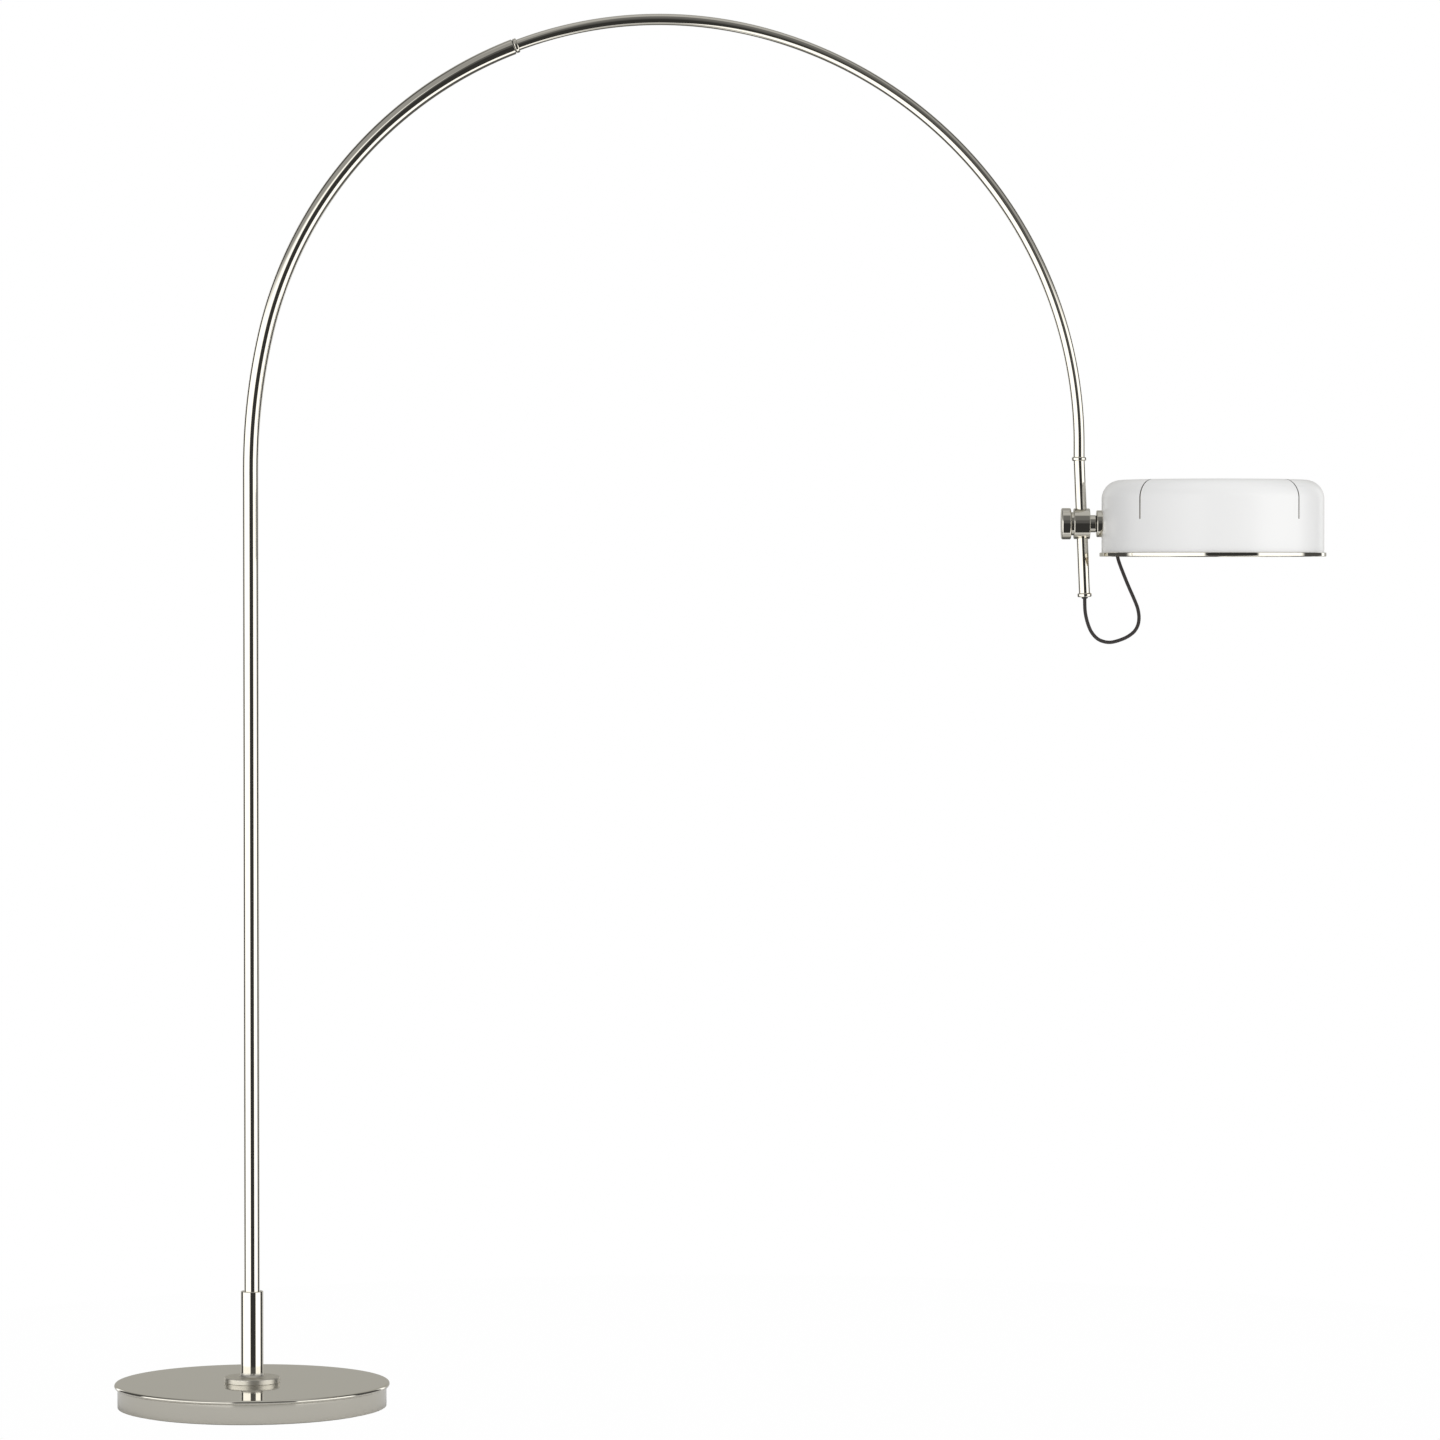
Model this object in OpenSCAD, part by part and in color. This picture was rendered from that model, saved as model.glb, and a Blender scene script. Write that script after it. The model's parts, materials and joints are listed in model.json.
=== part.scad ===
// Arc floor lamp: a weighted round base, a bent two-piece tube, and a shade that slides,
// swings and tilts on the plain end of the tube.
// Origin: centre of the base's underside. +Z up, +X from the column towards the shade.

/* [Base] */
// Diameter over the rolled lip of the base cover
base_d = 391; // [330:1:480]
// Height of the base, floor to the top of the cover
base_h = 35; // [33:1:45]
// Height of the rolled lip
lip_h = 6.5; // [5:0.5:8]
// How far the lip stands out over the skirt
lip_overhang = 4.5; // [3.5:0.5:6]
// Sheet thickness of the cover and the skirt
base_sheet = 1.5; // [1:0.1:2]
// Thickness of the foam pad under the base
pad_t = 3; // [2:0.5:4]
// How far the pad's edge lies inside the bottom plate's edge
pad_inset = 3; // [2:0.5:8]
// Thickness of the steel plate that closes the base
plate_t = 2; // [1.5:0.5:3]
// Pitch radius of the bottom plate's screws
plate_screw_pitch_r = 150; // [90:1:155]
// Number of screws in the bottom plate
plate_screws = 4; // [3:1:6]

/* [Column foot] */
// Diameter of the foot flange
flange_d = 79; // [70:1:100]
// Thickness of the foot flange's rim
flange_t = 8; // [4:0.5:10]
// Radius of the cove between the flange and the sleeve
cove_r = 6; // [4:0.5:12]
// Outer diameter of the sleeve that holds the column
sleeve_d = 32; // [28:1:40]
// Height of the sleeve's top above the floor
sleeve_top = 165; // [130:1:260]
// Diameter of the hollow threaded stud through the base
stud_d = 20; // [17:1:20]
// Bore of the hollow stud
stud_bore = 12; // [9:0.5:13]
// How far the stud and the solid foot reach up inside the sleeve
stud_reach = 38; // [25:1:60]
// Diameter of the sleeve's set screw
set_screw_d = 6; // [4:1:8]

/* [Tubes] */
// Outer diameter of the column and lower arc tube
lower_d = 22; // [20:0.2:26.4]
// Outer diameter of the upper arc tube and the drop tube
upper_d = 16; // [13:0.1:17]
// Wall thickness of the tubes
tube_wall = 1.5; // [1:0.1:2]
// Height at which the column starts to bend
bend_z = 1333; // [1000:1:1500]
// Radius of the first gentle bend
lead_r = 860; // [700:10:1000]
// Angle of the first gentle bend, in degrees
lead_angle = 13; // [8:1:18]
// Radius of the crown of the arc
crown_r = 573; // [450:1:680]
// Angle from the start of the crown to the tube joint, in degrees
crown_lower_angle = 56; // [40:1:65]
// Angle of the falling bend, in degrees; the crown takes what is left of the half turn
fall_angle = 75; // [60:1:85]
// Radius of the falling bend
fall_r = 603; // [450:1:700]
// Length of straight tube after the falling bend
fall_straight = 20; // [18:1:60]
// Outward lean of the drop tube, in degrees
drop_lean = 2.4; // [0:0.1:4]
// Length of the drop tube with its end collar
drop_len = 196; // [170:1:300]

/* [Tube joint] */
// Length of the bush that joins the two arc tubes
bush_len = 32; // [22:1:50]
// Outer diameter of the joint ring
joint_ring_d = 21; // [19.5:0.5:22]
// Width of the joint ring
joint_ring_w = 5.5; // [4:0.5:9]
// Width of the groove between the lower tube's end and the joint ring
groove_w = 1; // [0.5:0.1:2]
// Bore of the joint bush and of the drop tube's joiner
cable_way = 8; // [6:0.5:9]

/* [Rings on the drop tube] */
// Outer diameter of the stop ring and the end collar
ring_d = 20.5; // [19.5:0.5:24]
// Width of the stop ring and the end collar
ring_w = 5.5; // [4:0.5:9]
// Length of the joiner on each side of the stop ring
joiner_len = 17; // [10:1:17]

/* [Clamp] */
// Diameter of the clamp body
clamp_d = 43.5; // [38:0.5:50]
// Length of the clamp body along its axis
clamp_len = 23; // [22:0.5:30]
// Distance of the clamp's axis from the stop ring's centre, along the drop tube
clamp_at = 92; // [60:1:120]
// Wall thickness of the plastic liner between clamp and tube
liner_wall = 1.2; // [0.8:0.1:1.4]
// Length of the liner
liner_len = 36; // [24:1:37]
// Diameter of the boss under the knob
boss_d = 33; // [26:0.5:36]
// Height of the boss under the knob
boss_h = 3.5; // [2:0.5:6]
// Diameter of the knob
knob_d = 44.5; // [36:1:56]
// Thickness of the knob
knob_t = 13.6; // [10:0.2:20]
// Diameter of the clamp screw
clamp_screw_d = 8; // [6:1:10]

/* [Tilt pivot] */
// Diameter of the pivot boss on the clamp
pivot_boss_d = 24.5; // [20:0.5:30]
// Length of the pivot boss
pivot_boss_len = 8; // [6:0.5:14]
// Thickness of the friction washer
friction_washer_t = 1.2; // [0.8:0.1:2]
// Diameter of the disc against the shade
pivot_disc_d = 38; // [30:0.5:44]
// Thickness of the disc at its centre
pivot_disc_t = 7.6; // [5:0.1:12]
// Diameter of the spindle
spindle_d = 10; // [8:1:12]
// Diameter of the backing washer inside the shade
backing_d = 30; // [24:0.5:36]
// Thickness of the backing washer at its centre
backing_t = 3.5; // [3:0.5:6]
// Distance from the pivot's axis down to the mouth of the cord hub
hub_drop = 17; // [13:0.5:20]

/* [Shade] */
// Outer diameter of the shade
shade_d = 315; // [300:1:400]
// Height of the shade's top above the tilt axis
shade_above = 62; // [60:1:90]
// Distance of the shade's lowest edge below the tilt axis
shade_below = 46.5; // [42:0.5:80]
// Outer radius of the shade's shoulder
shoulder_r = 27; // [18:1:32]
// Wall thickness of the shade
shade_wall = 1.2; // [1:0.1:2.5]
// Width of the vent slits
slit_w = 2; // [1.5:0.1:3]
// Radius at which the vent slits start on the shade's top
slit_from_r = 60; // [40:1:90]
// Height of the vent slits' lower ends above the tilt axis
slit_above_axis = 6; // [4:1:20]
// Height of the rim ring
rim_h = 5.5; // [4:0.5:9]
// How far the rim ring stands out from the shade's wall
rim_out = 3; // [1:0.5:5]
// Radial depth of the rim ring
rim_depth = 7; // [6.5:0.5:9]
// Height of the rim's lip inside the shade
rim_lip_h = 6; // [5:0.5:10]

/* [Lamp inside] */
// Diameter of the junction box
box_d = 46; // [40:1:60]
// Height of the junction box
box_h = 34; // [26:1:40]
// Wall thickness of the junction box
box_wall = 2; // [1.5:0.1:3]
// Outer diameter of the lead conduit
conduit_d = 8; // [6:0.5:10]
// Diameter of the stem that holds the junction box
stem_d = 12; // [8:1:16]
// Diameter of a lampholder
holder_d = 38; // [36:1:40]
// Length of a lampholder, from the junction box
holder_len = 42; // [38:1:44]
// Diameter of a bulb
bulb_d = 60; // [45:1:60]
// Length of a bulb outside its holder
bulb_out = 78; // [64:1:80]

/* [Cords] */
// Diameter of the cord to the shade
cord_d = 5; // [4:0.5:5]
// Diameter of the cable inside the tubes
cable_d = 5; // [4:0.5:6]

/* [Clearances] */
// Radial clearance of what turns or slides on a shaft
running_gap = 0.06; // [0.03:0.01:0.09]
// Gap between the faces of pieces that move on each other
face_gap = 0.3; // [0.3:0.1:0.6]
// Radial clearance of fixed pieces that are only slipped together
slip_gap = 0.3; // [0.2:0.1:0.5]

/* [Hidden] */
$fn = 96;
bend_fn = 360;

NICKEL = "#b9b5ab";
STEEL = "#8d9094";
IRON = "#3c3d40";
BLACK = "#1d1c1b";
WHITE = "#f2f1ec";
BRASS = "#b8954f";
NYLON = "#e6e2d6";

// Base, from the floor up
base_r = base_d / 2;
skirt_r = base_r - lip_overhang;
skirt_in_r = skirt_r - base_sheet;
skirt_foot = 1.2;
skirt_flange = 14;
plate_r = skirt_in_r - slip_gap;
pad_r = plate_r - pad_inset;
plate_top = pad_t + plate_t;
weight_top = base_h - base_sheet;
weight_r = skirt_in_r - slip_gap;
plate_screw_d = 6;
plate_screw_head_d = 11;
plate_screw_depth = 12;
nut_af = 30;
nut_h = 10;
washer_t = 3;
washer_d = 44;
well_d = 54;
cable_z = plate_top + 0.5 + cable_d / 2;
cable_bend_r = 12;
stud_foot = cable_z + cable_d;
nut_z = stud_foot + 0.5;
washer_z = nut_z + nut_h;
well_top = washer_z + washer_t;
cable_groove_w = 9;
cable_start_y = 165;
grommet_bore = 7;
grommet_d = 10;
grommet_flange_d = 14;
grommet_flange_t = 1.5;
grommet_z = plate_top + grommet_flange_d / 2 + 1.5;
pocket_w = 18;
pocket_from_y = skirt_in_r - 14;
clip_y = 150;
clip_len = 8;
clip_w = 24;

// Column foot
stud_top = base_h + stud_reach;
column_foot_z = stud_top + 2;
sleeve_bore = lower_d;
sleeve_edge = 1;
set_screw_z = sleeve_top - 25;

// Tube route: straight column, first bend, crown, falling bend, straight, drop tube
function on_circle(c, r, a) = [c[0] + r * cos(a), c[1] + r * sin(a)];
lower_r = lower_d / 2;
upper_r = upper_d / 2;
lower_in_r = lower_r - tube_wall;
upper_in_r = upper_r - tube_wall;
lead_c = [lead_r, bend_z];
crown_from = 180 - lead_angle;
crown_c = on_circle(lead_c, lead_r - crown_r, crown_from);
joint_angle = crown_from - crown_lower_angle;
fall_c = on_circle(crown_c, crown_r - fall_r, fall_angle);
drop_x = fall_c[0] + fall_r;
kink_z = fall_c[1] - fall_straight;
function crown_deg(len) = len / crown_r * 180 / PI;
lower_end_angle = joint_angle + crown_deg(groove_w);
bush_floor = 2;
bush_angle = crown_deg(bush_len);
tube_end_gap = upper_r * tan(drop_lean / 2) + 0.2;
// Hairline between the lengths of one tube, which keeps each a true cylinder or ring
seam = 0.01;
seam_deg = seam / fall_r * 180 / PI;
collar_floor = 1.5;
collar_from = drop_len - ring_w;
joint_screw_d = 4;

// Clamp and tilt pivot, along the tilt axis
clamp_x = drop_x + clamp_at * sin(drop_lean);
pivot_z = kink_z - clamp_at * cos(drop_lean);
liner_r = upper_r + running_gap + liner_wall;
clamp_left = clamp_x - clamp_len / 2;
clamp_right = clamp_x + clamp_len / 2;
knob_right = clamp_left - boss_h - face_gap;
knob_left = knob_right - knob_t;
screw_tip = clamp_x - liner_r - 0.1;
pivot_boss_end = clamp_right + pivot_boss_len;
friction_from = pivot_boss_end + face_gap;
pivot_disc_from = friction_from + friction_washer_t;
shade_left = pivot_disc_from + pivot_disc_t;
shade_r = shade_d / 2;
shade_x = shade_left + shade_r;
wall_in = shade_left + shade_wall;
backing_end = wall_in + backing_t;
wave_from = backing_end + face_gap;
wave_t = 1.2;
nut_from = wave_from + wave_t;
tilt_nut_t = 5;
tilt_nut_af = 17;
hub_from = nut_from + tilt_nut_t;
hub_len = 11;
hub_d = 17;
hub_x = hub_from + hub_len / 2;
hub_neck_d = 9;
spindle_from = clamp_x + liner_r + 0.2;
spindle_to = hub_from + hub_len - 2;
spindle_bore = 5;

// Shade
shade_top = pivot_z + shade_above;
rim_z = pivot_z - shade_below;
shell_z = rim_z + rim_h;
rim_r = shade_r + rim_out;
rim_in_r = rim_r - rim_depth;
lip_r = shade_r - shade_wall;
rim_screw_d = 3;
rim_screw_head_d = 5.5;
rim_screw_z = shell_z + rim_lip_h / 2;

// Lamp inside
box_top = pivot_z + box_h / 2;
box_bottom = pivot_z - box_h / 2;
cover_t = 2.5;
stem_flange_d = 44;
stem_flange_t = 3;
conduit_from = hub_from + hub_len + 1.5;
conduit_to = shade_x - box_d / 2 + box_wall + 1;
cap_d = 26.4;
cap_len = 26;
cap_wall = 1;
cap_floor = 3;
holder_bore_d = 27;
holder_end = box_d / 2 + holder_len;
bulb_neck_r = 13;
bulb_wall = 1;
cap_from = holder_end - cap_len;

// Cord from the drop tube's end to the hub inside the shade, as [x, z] points
gland_flange_t = 5;
gland_nose = 2.5;
gland_neck_r = 4.4;
exit_at = drop_len + gland_nose;
gland_from = drop_len - collar_floor - face_gap - gland_flange_t;
cord_route = [
    [1184.5, 1133], [1187.5, 1118], [1193, 1104], [1201.5, 1094], [1211, 1089.5],
    [1221, 1088.5], [1232, 1091], [1244, 1096], [1254, 1103.5], [1259.5, 1113],
    [1261, 1124.5], [1259, 1137], [1254, 1150], [1246.5, 1167], [1239.5, 1184],
    [1232, 1204], [1228.5, 1220]
];
cord_sides = 8;
cord_steps = 2;
cord_points = concat([drop_point(exit_at)], cord_route, [[hub_x, pivot_z - hub_drop - face_gap]]);

// Placing helpers
function drop_point(s) = [drop_x + s * sin(drop_lean), kink_z - s * cos(drop_lean)];

module along_drop(s) {
    translate([drop_point(s)[0], 0, drop_point(s)[1]])
        rotate([0, 180 - drop_lean, 0])
            children();
}

module along_x(x) {
    translate([x, 0, pivot_z])
        rotate([0, 90, 0])
            children();
}

module at_shade(z) {
    translate([shade_x, 0, z])
        children();
}

module around(count, r, first = 0) {
    for (i = [0 : count - 1])
        rotate([0, 0, first + i * 360 / count])
            translate([r, 0, 0])
                children();
}

// One bend of the tube route: circle centre, radius, first and last angle, and tube radii
module bend(c, r, from, to, r_out, r_in = 0) {
    translate([c[0], 0, c[1]])
        rotate([90, 0, 0])
            rotate([0, 0, to])
                rotate_extrude(angle = from - to, $fn = bend_fn)
                    translate([r, 0])
                        ring_2d(r_out, r_in);
}

module ring_2d(r_out, r_in) {
    difference() {
        circle(r_out, $fn = 48);
        if (r_in > 0)
            circle(r_in, $fn = 48);
    }
}

module pipe(r_out, r_in, h) {
    linear_extrude(h)
        ring_2d(r_out, r_in);
}

// A ring with rounded outer edges, centred on its own middle
module beaded_ring(r_in, r_out, w, edge) {
    rotate_extrude()
        difference() {
            union() {
                translate([r_in, -w / 2])
                    square([r_out - edge - r_in, w]);
                translate([r_in, -w / 2 + edge])
                    square([r_out - r_in, w - 2 * edge]);
                for (s = [-1, 1])
                    translate([r_out - edge, s * (w / 2 - edge)])
                        circle(edge, $fn = 32);
            }
            if (r_in > 0)
                translate([r_in - 2 * edge, -w])
                    square([2 * edge, 2 * w]);
        }
}

module hex(af, h) {
    rotate([0, 0, 30])
        linear_extrude(h)
            circle(af / 2 / cos(30), $fn = 6);
}

// ---- Base ----
module foot_pad() {
    color(BLACK)
        cylinder(r = pad_r, h = pad_t);
}

module plate_screw() {
    translate([0, 0, pad_t])
        cylinder(d1 = plate_screw_head_d, d2 = plate_screw_d, h = plate_t);
    translate([0, 0, plate_top])
        cylinder(d = plate_screw_d, h = plate_screw_depth);
}

module bottom_plate() {
    color(STEEL)
        difference() {
            translate([0, 0, pad_t])
                cylinder(r = plate_r, h = plate_t);
            around(plate_screws, plate_screw_pitch_r, 45)
                plate_screw();
        }
}

module bottom_screws() {
    color(STEEL)
        around(plate_screws, plate_screw_pitch_r, 45)
            plate_screw();
}

module base_weight() {
    color(IRON)
        difference() {
            translate([0, 0, plate_top])
                cylinder(r = weight_r, h = weight_top - plate_top);
            translate([0, 0, weight_top - base_sheet])
                difference() {
                    cylinder(r = weight_r + 1, h = base_sheet + 1);
                    cylinder(r = skirt_in_r - skirt_flange, h = base_sheet + 1);
                }
            translate([0, 0, plate_top - 1])
                cylinder(d = well_d, h = well_top - plate_top + 1);
            cylinder(d = stud_d + 2 * slip_gap, h = base_h);
            translate([-cable_groove_w / 2, 0, plate_top - 1])
                cube([cable_groove_w, base_r, cable_d + 2]);
            translate([-pocket_w / 2, pocket_from_y, plate_top - 1])
                cube([pocket_w, base_r, grommet_z + grommet_flange_d / 2 - plate_top + 2]);
            translate([-clip_w / 2 - slip_gap, clip_y - clip_len / 2 - slip_gap, plate_top - 1])
                cube([clip_w + 2 * slip_gap, clip_len + 2 * slip_gap, cable_d + 3]);
            around(plate_screws, plate_screw_pitch_r, 45)
                translate([0, 0, plate_top - 1])
                    cylinder(d = plate_screw_d + 0.2, h = plate_screw_depth + 2);
        }
}

module base_skirt() {
    color(NICKEL)
        difference() {
            rotate_extrude($fn = 180) {
                translate([skirt_in_r, skirt_foot])
                    square([base_sheet, weight_top - skirt_foot]);
                translate([skirt_in_r - skirt_flange, weight_top - base_sheet])
                    square([skirt_flange + base_sheet / 2, base_sheet]);
            }
            translate([0, 0, grommet_z])
                rotate([-90, 0, 0])
                    cylinder(d = grommet_d, h = base_r);
        }
}

module base_cover() {
    lip_c = base_r - lip_h / 2;
    lip_z = base_h - lip_h / 2;
    color(NICKEL)
        difference() {
            rotate_extrude($fn = 180) {
                translate([0, weight_top])
                    square([lip_c, base_sheet]);
                translate([skirt_r + slip_gap, base_h - lip_h])
                    square([lip_c - skirt_r - slip_gap, base_sheet]);
                translate([lip_c, lip_z])
                    difference() {
                        circle(lip_h / 2, $fn = 48);
                        circle(lip_h / 2 - base_sheet, $fn = 48);
                        translate([-lip_h, -lip_h])
                            square([lip_h, 2 * lip_h]);
                    }
            }
            translate([0, 0, weight_top - 1])
                cylinder(d = stud_d + 2 * slip_gap, h = base_sheet + 2);
        }
}

module mains_grommet() {
    inside = skirt_in_r - 0.2;
    color(BLACK)
        translate([0, 0, grommet_z])
            rotate([-90, 0, 0])
                difference() {
                    union() {
                        translate([0, 0, inside - grommet_flange_t])
                            cylinder(d = grommet_flange_d, h = grommet_flange_t);
                        translate([0, 0, inside - grommet_flange_t])
                            cylinder(d = grommet_d, h = skirt_r - inside + 2 * grommet_flange_t);
                        translate([0, 0, skirt_r])
                            cylinder(d = grommet_flange_d, h = grommet_flange_t);
                    }
                    translate([0, 0, inside - 5])
                        cylinder(d = grommet_bore, h = 20);
                }
}

module cable_clip() {
    color(NYLON)
        difference() {
            translate([-clip_w / 2, clip_y - clip_len / 2, plate_top])
                cube([clip_w, clip_len, cable_d + 2]);
            translate([0, clip_y - clip_len, cable_z])
                rotate([-90, 0, 0])
                    cylinder(d = cable_d, h = 2 * clip_len);
        }
}

// ---- Column foot ----
module foot_flange() {
    color(NICKEL)
        difference() {
            translate([0, 0, base_h])
                rotate_extrude() {
                    square([flange_d / 2 - 1.5, flange_t]);
                    square([flange_d / 2, flange_t - 1.5]);
                    translate([flange_d / 2 - 1.5, flange_t - 1.5])
                        circle(1.5, $fn = 32);
                    difference() {
                        square([sleeve_d / 2 + cove_r, flange_t + cove_r]);
                        translate([sleeve_d / 2 + cove_r, flange_t + cove_r])
                            circle(cove_r, $fn = 64);
                    }
                }
            translate([0, 0, base_h + flange_t])
                cylinder(d = sleeve_d, h = cove_r + 1);
            translate([0, 0, base_h - 1])
                cylinder(d = stud_d, h = base_h);
        }
}

module column_sleeve() {
    color(NICKEL)
        difference() {
            translate([0, 0, base_h + flange_t])
                rotate_extrude() {
                    square([sleeve_d / 2 - sleeve_edge, sleeve_top - base_h - flange_t]);
                    square([sleeve_d / 2, sleeve_top - base_h - flange_t - sleeve_edge]);
                    translate([sleeve_d / 2 - sleeve_edge, sleeve_top - base_h - flange_t - sleeve_edge])
                        circle(sleeve_edge, $fn = 32);
                }
            translate([0, 0, base_h])
                cylinder(d = stud_d, h = sleeve_top);
            translate([0, 0, column_foot_z])
                cylinder(d = sleeve_bore, h = sleeve_top);
            translate([0, 0, set_screw_z])
                rotate([-90, 0, 0])
                    cylinder(d = set_screw_d, h = sleeve_d);
        }
}

module sleeve_set_screw() {
    socket_af = set_screw_d / 2;
    color(STEEL)
        difference() {
            translate([0, lower_r, set_screw_z])
                rotate([-90, 0, 0])
                    difference() {
                        cylinder(d = set_screw_d, h = sleeve_d / 2 - lower_r - 0.5);
                        translate([0, 0, 2])
                            hex(socket_af, sleeve_d);
                    }
            cylinder(r = lower_r, h = sleeve_top);
        }
}

module foot_stud() {
    color(STEEL)
        translate([0, 0, stud_foot])
            pipe(stud_d / 2, stud_bore / 2, stud_top - stud_foot);
}

module stud_washer() {
    color(STEEL)
        translate([0, 0, washer_z])
            pipe(washer_d / 2, stud_d / 2 + slip_gap, washer_t);
}

module stud_nut() {
    color(STEEL)
        difference() {
            translate([0, 0, nut_z])
                hex(nut_af, nut_h);
            translate([0, 0, nut_z - 1])
                cylinder(d = stud_d, h = nut_h + 2);
        }
}

// ---- Tubes ----
module lower_tube() {
    color(NICKEL) {
        translate([0, 0, column_foot_z])
            pipe(lower_r, lower_in_r, bend_z - column_foot_z - seam);
        bend(lead_c, lead_r, 180, crown_from + seam_deg, lower_r, lower_in_r);
        difference() {
            bend(crown_c, crown_r, crown_from, lower_end_angle, lower_r, lower_in_r);
            joint_screw_hole();
        }
    }
}

// Radial hole for the joint's set screw, on the inside of the arc
module joint_screw_hole() {
    at_crown(joint_angle + bush_angle / 2)
        rotate([0, -90, 0])
            translate([0, 0, upper_r - 2])
                cylinder(d = joint_screw_d, h = lower_d);
}

// The bush sits in the lower tube's end; the upper tube pushes into it
module joint_bush() {
    inner_end = joint_angle + bush_angle + crown_deg(bush_floor);
    color(BLACK)
        difference() {
            bend(crown_c, crown_r, inner_end, joint_angle + crown_deg(0.1), lower_in_r);
            bend(crown_c, crown_r, joint_angle + bush_angle, joint_angle - 1, upper_r);
            bend(crown_c, crown_r, inner_end + 1, joint_angle - 1, cable_way / 2);
            joint_screw_hole();
        }
}

module at_crown(a) {
    translate([on_circle(crown_c, crown_r, a)[0], 0, on_circle(crown_c, crown_r, a)[1]])
        rotate([0, 180 - a, 0])
            children();
}

module joint_ring() {
    color(NICKEL)
        difference() {
            at_crown(joint_angle - crown_deg(joint_ring_w / 2))
                beaded_ring(upper_r - 1, joint_ring_d / 2, joint_ring_w, 1.5);
            bend(crown_c, crown_r, joint_angle + 1, joint_angle - 2, upper_r);
        }
}

// The set screw locks the upper tube from under the arc
module joint_set_screw() {
    socket_af = joint_screw_d / 2;
    color(STEEL)
        at_crown(joint_angle + bush_angle / 2)
            difference() {
                rotate([0, -90, 0])
                    difference() {
                        cylinder(d = joint_screw_d, h = lower_r - 0.3);
                        translate([0, 0, upper_r + 1.5])
                            hex(socket_af, lower_d);
                    }
                cylinder(r = upper_r, h = lower_d, center = true);
            }
}

module upper_tube() {
    color(NICKEL) {
        bend(crown_c, crown_r, joint_angle + bush_angle, fall_angle + seam_deg, upper_r, upper_in_r);
        bend(fall_c, fall_r, fall_angle, seam_deg, upper_r, upper_in_r);
        translate([drop_x, 0, kink_z + tube_end_gap])
            pipe(upper_r, upper_in_r, fall_straight - tube_end_gap);
    }
}

// The ring's bore is just wide enough for the tube on both sides of the kink
module stop_ring() {
    color(NICKEL)
        translate([drop_x, 0, kink_z])
            beaded_ring(upper_r + ring_w / 2 * tan(drop_lean) + 0.02, ring_d / 2, ring_w, 1.8);
}

// A straight rod at half the lean, so that both tubes slip over its ends
module drop_joiner() {
    color(STEEL)
        translate([drop_x, 0, kink_z])
            rotate([0, 180 - drop_lean / 2, 0])
                translate([0, 0, -joiner_len])
                    pipe(upper_in_r - joiner_len * sin(drop_lean / 2) - 0.05, cable_way / 2, 2 * joiner_len);
}

module drop_tube() {
    color(NICKEL)
        along_drop(tube_end_gap)
            pipe(upper_r, upper_in_r, drop_len - collar_floor - tube_end_gap);
}

module end_collar() {
    color(NICKEL)
        along_drop(collar_from + ring_w / 2)
            difference() {
                beaded_ring(gland_neck_r + running_gap, ring_d / 2, ring_w, 1.8);
                translate([0, 0, -ring_w / 2 - 1])
                    cylinder(r = upper_r, h = ring_w - collar_floor + 1);
            }
}

// Cable from the clip in the base to just above the gland at the drop tube's end
module inner_cable() {
    r = cable_d / 2;
    color(BLACK) {
        translate([0, cable_bend_r + seam, cable_z])
            rotate([-90, 0, 0])
                cylinder(r = r, h = cable_start_y - cable_bend_r);
        translate([0, cable_bend_r, cable_z + cable_bend_r])
            rotate([90, 0, 90])
                rotate([0, 0, 180])
                    rotate_extrude(angle = 90)
                        translate([cable_bend_r, 0])
                            circle(r, $fn = 48);
        translate([0, 0, cable_z + cable_bend_r + seam])
            cylinder(r = r, h = bend_z - cable_z - cable_bend_r - 2 * seam);
        bend(lead_c, lead_r, 180, crown_from + seam_deg, r);
        bend(crown_c, crown_r, crown_from, fall_angle + seam_deg, r);
        bend(fall_c, fall_r, fall_angle, seam_deg, r);
        translate([drop_x, 0, kink_z + tube_end_gap])
            cylinder(r = r, h = fall_straight - tube_end_gap);
        along_drop(tube_end_gap)
            cylinder(r = r, h = gland_from - face_gap - tube_end_gap);
    }
}

// ---- Swivelling gland in the drop tube's end ----
module cord_gland() {
    nose = 1;
    color(BLACK)
        along_drop(gland_from) {
            cylinder(r = upper_in_r - running_gap, h = gland_flange_t);
            cylinder(r = gland_neck_r, h = exit_at - gland_from - nose);
            translate([0, 0, exit_at - gland_from - nose])
                cylinder(r1 = gland_neck_r, r2 = cord_d / 2 + 0.8, h = nose);
        }
}

// ---- Clamp on the drop tube ----
module clamp_tunnel(r) {
    along_drop(clamp_at - clamp_d)
        cylinder(r = r, h = 2 * clamp_d);
}

module clamp_body() {
    edge = 1.2;
    color(NICKEL)
        difference() {
            union() {
                along_x(clamp_x)
                    beaded_ring(0, clamp_d / 2, clamp_len, edge);
                along_x(clamp_left - boss_h)
                    cylinder(d = boss_d, h = boss_h + 1);
            }
            difference() {
                clamp_tunnel(upper_r + running_gap + 0.2);
                along_drop(clamp_at - liner_len / 2)
                    cylinder(r = liner_r + 1, h = liner_len);
            }
            along_drop(clamp_at - liner_len / 2)
                cylinder(r = liner_r, h = liner_len);
            along_x(clamp_left - boss_h - 1)
                cylinder(r = clamp_screw_d / 2 + running_gap, h = clamp_len / 2 + boss_h + 1);
            along_x(clamp_x)
                cylinder(d = spindle_d, h = clamp_len);
        }
}

module clamp_liner() {
    color(NYLON)
        difference() {
            along_drop(clamp_at - liner_len / 2)
                pipe(liner_r, upper_r + running_gap, liner_len);
            along_x(clamp_left)
                cylinder(r = clamp_screw_d / 2 + running_gap, h = clamp_len / 2);
        }
}

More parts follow.
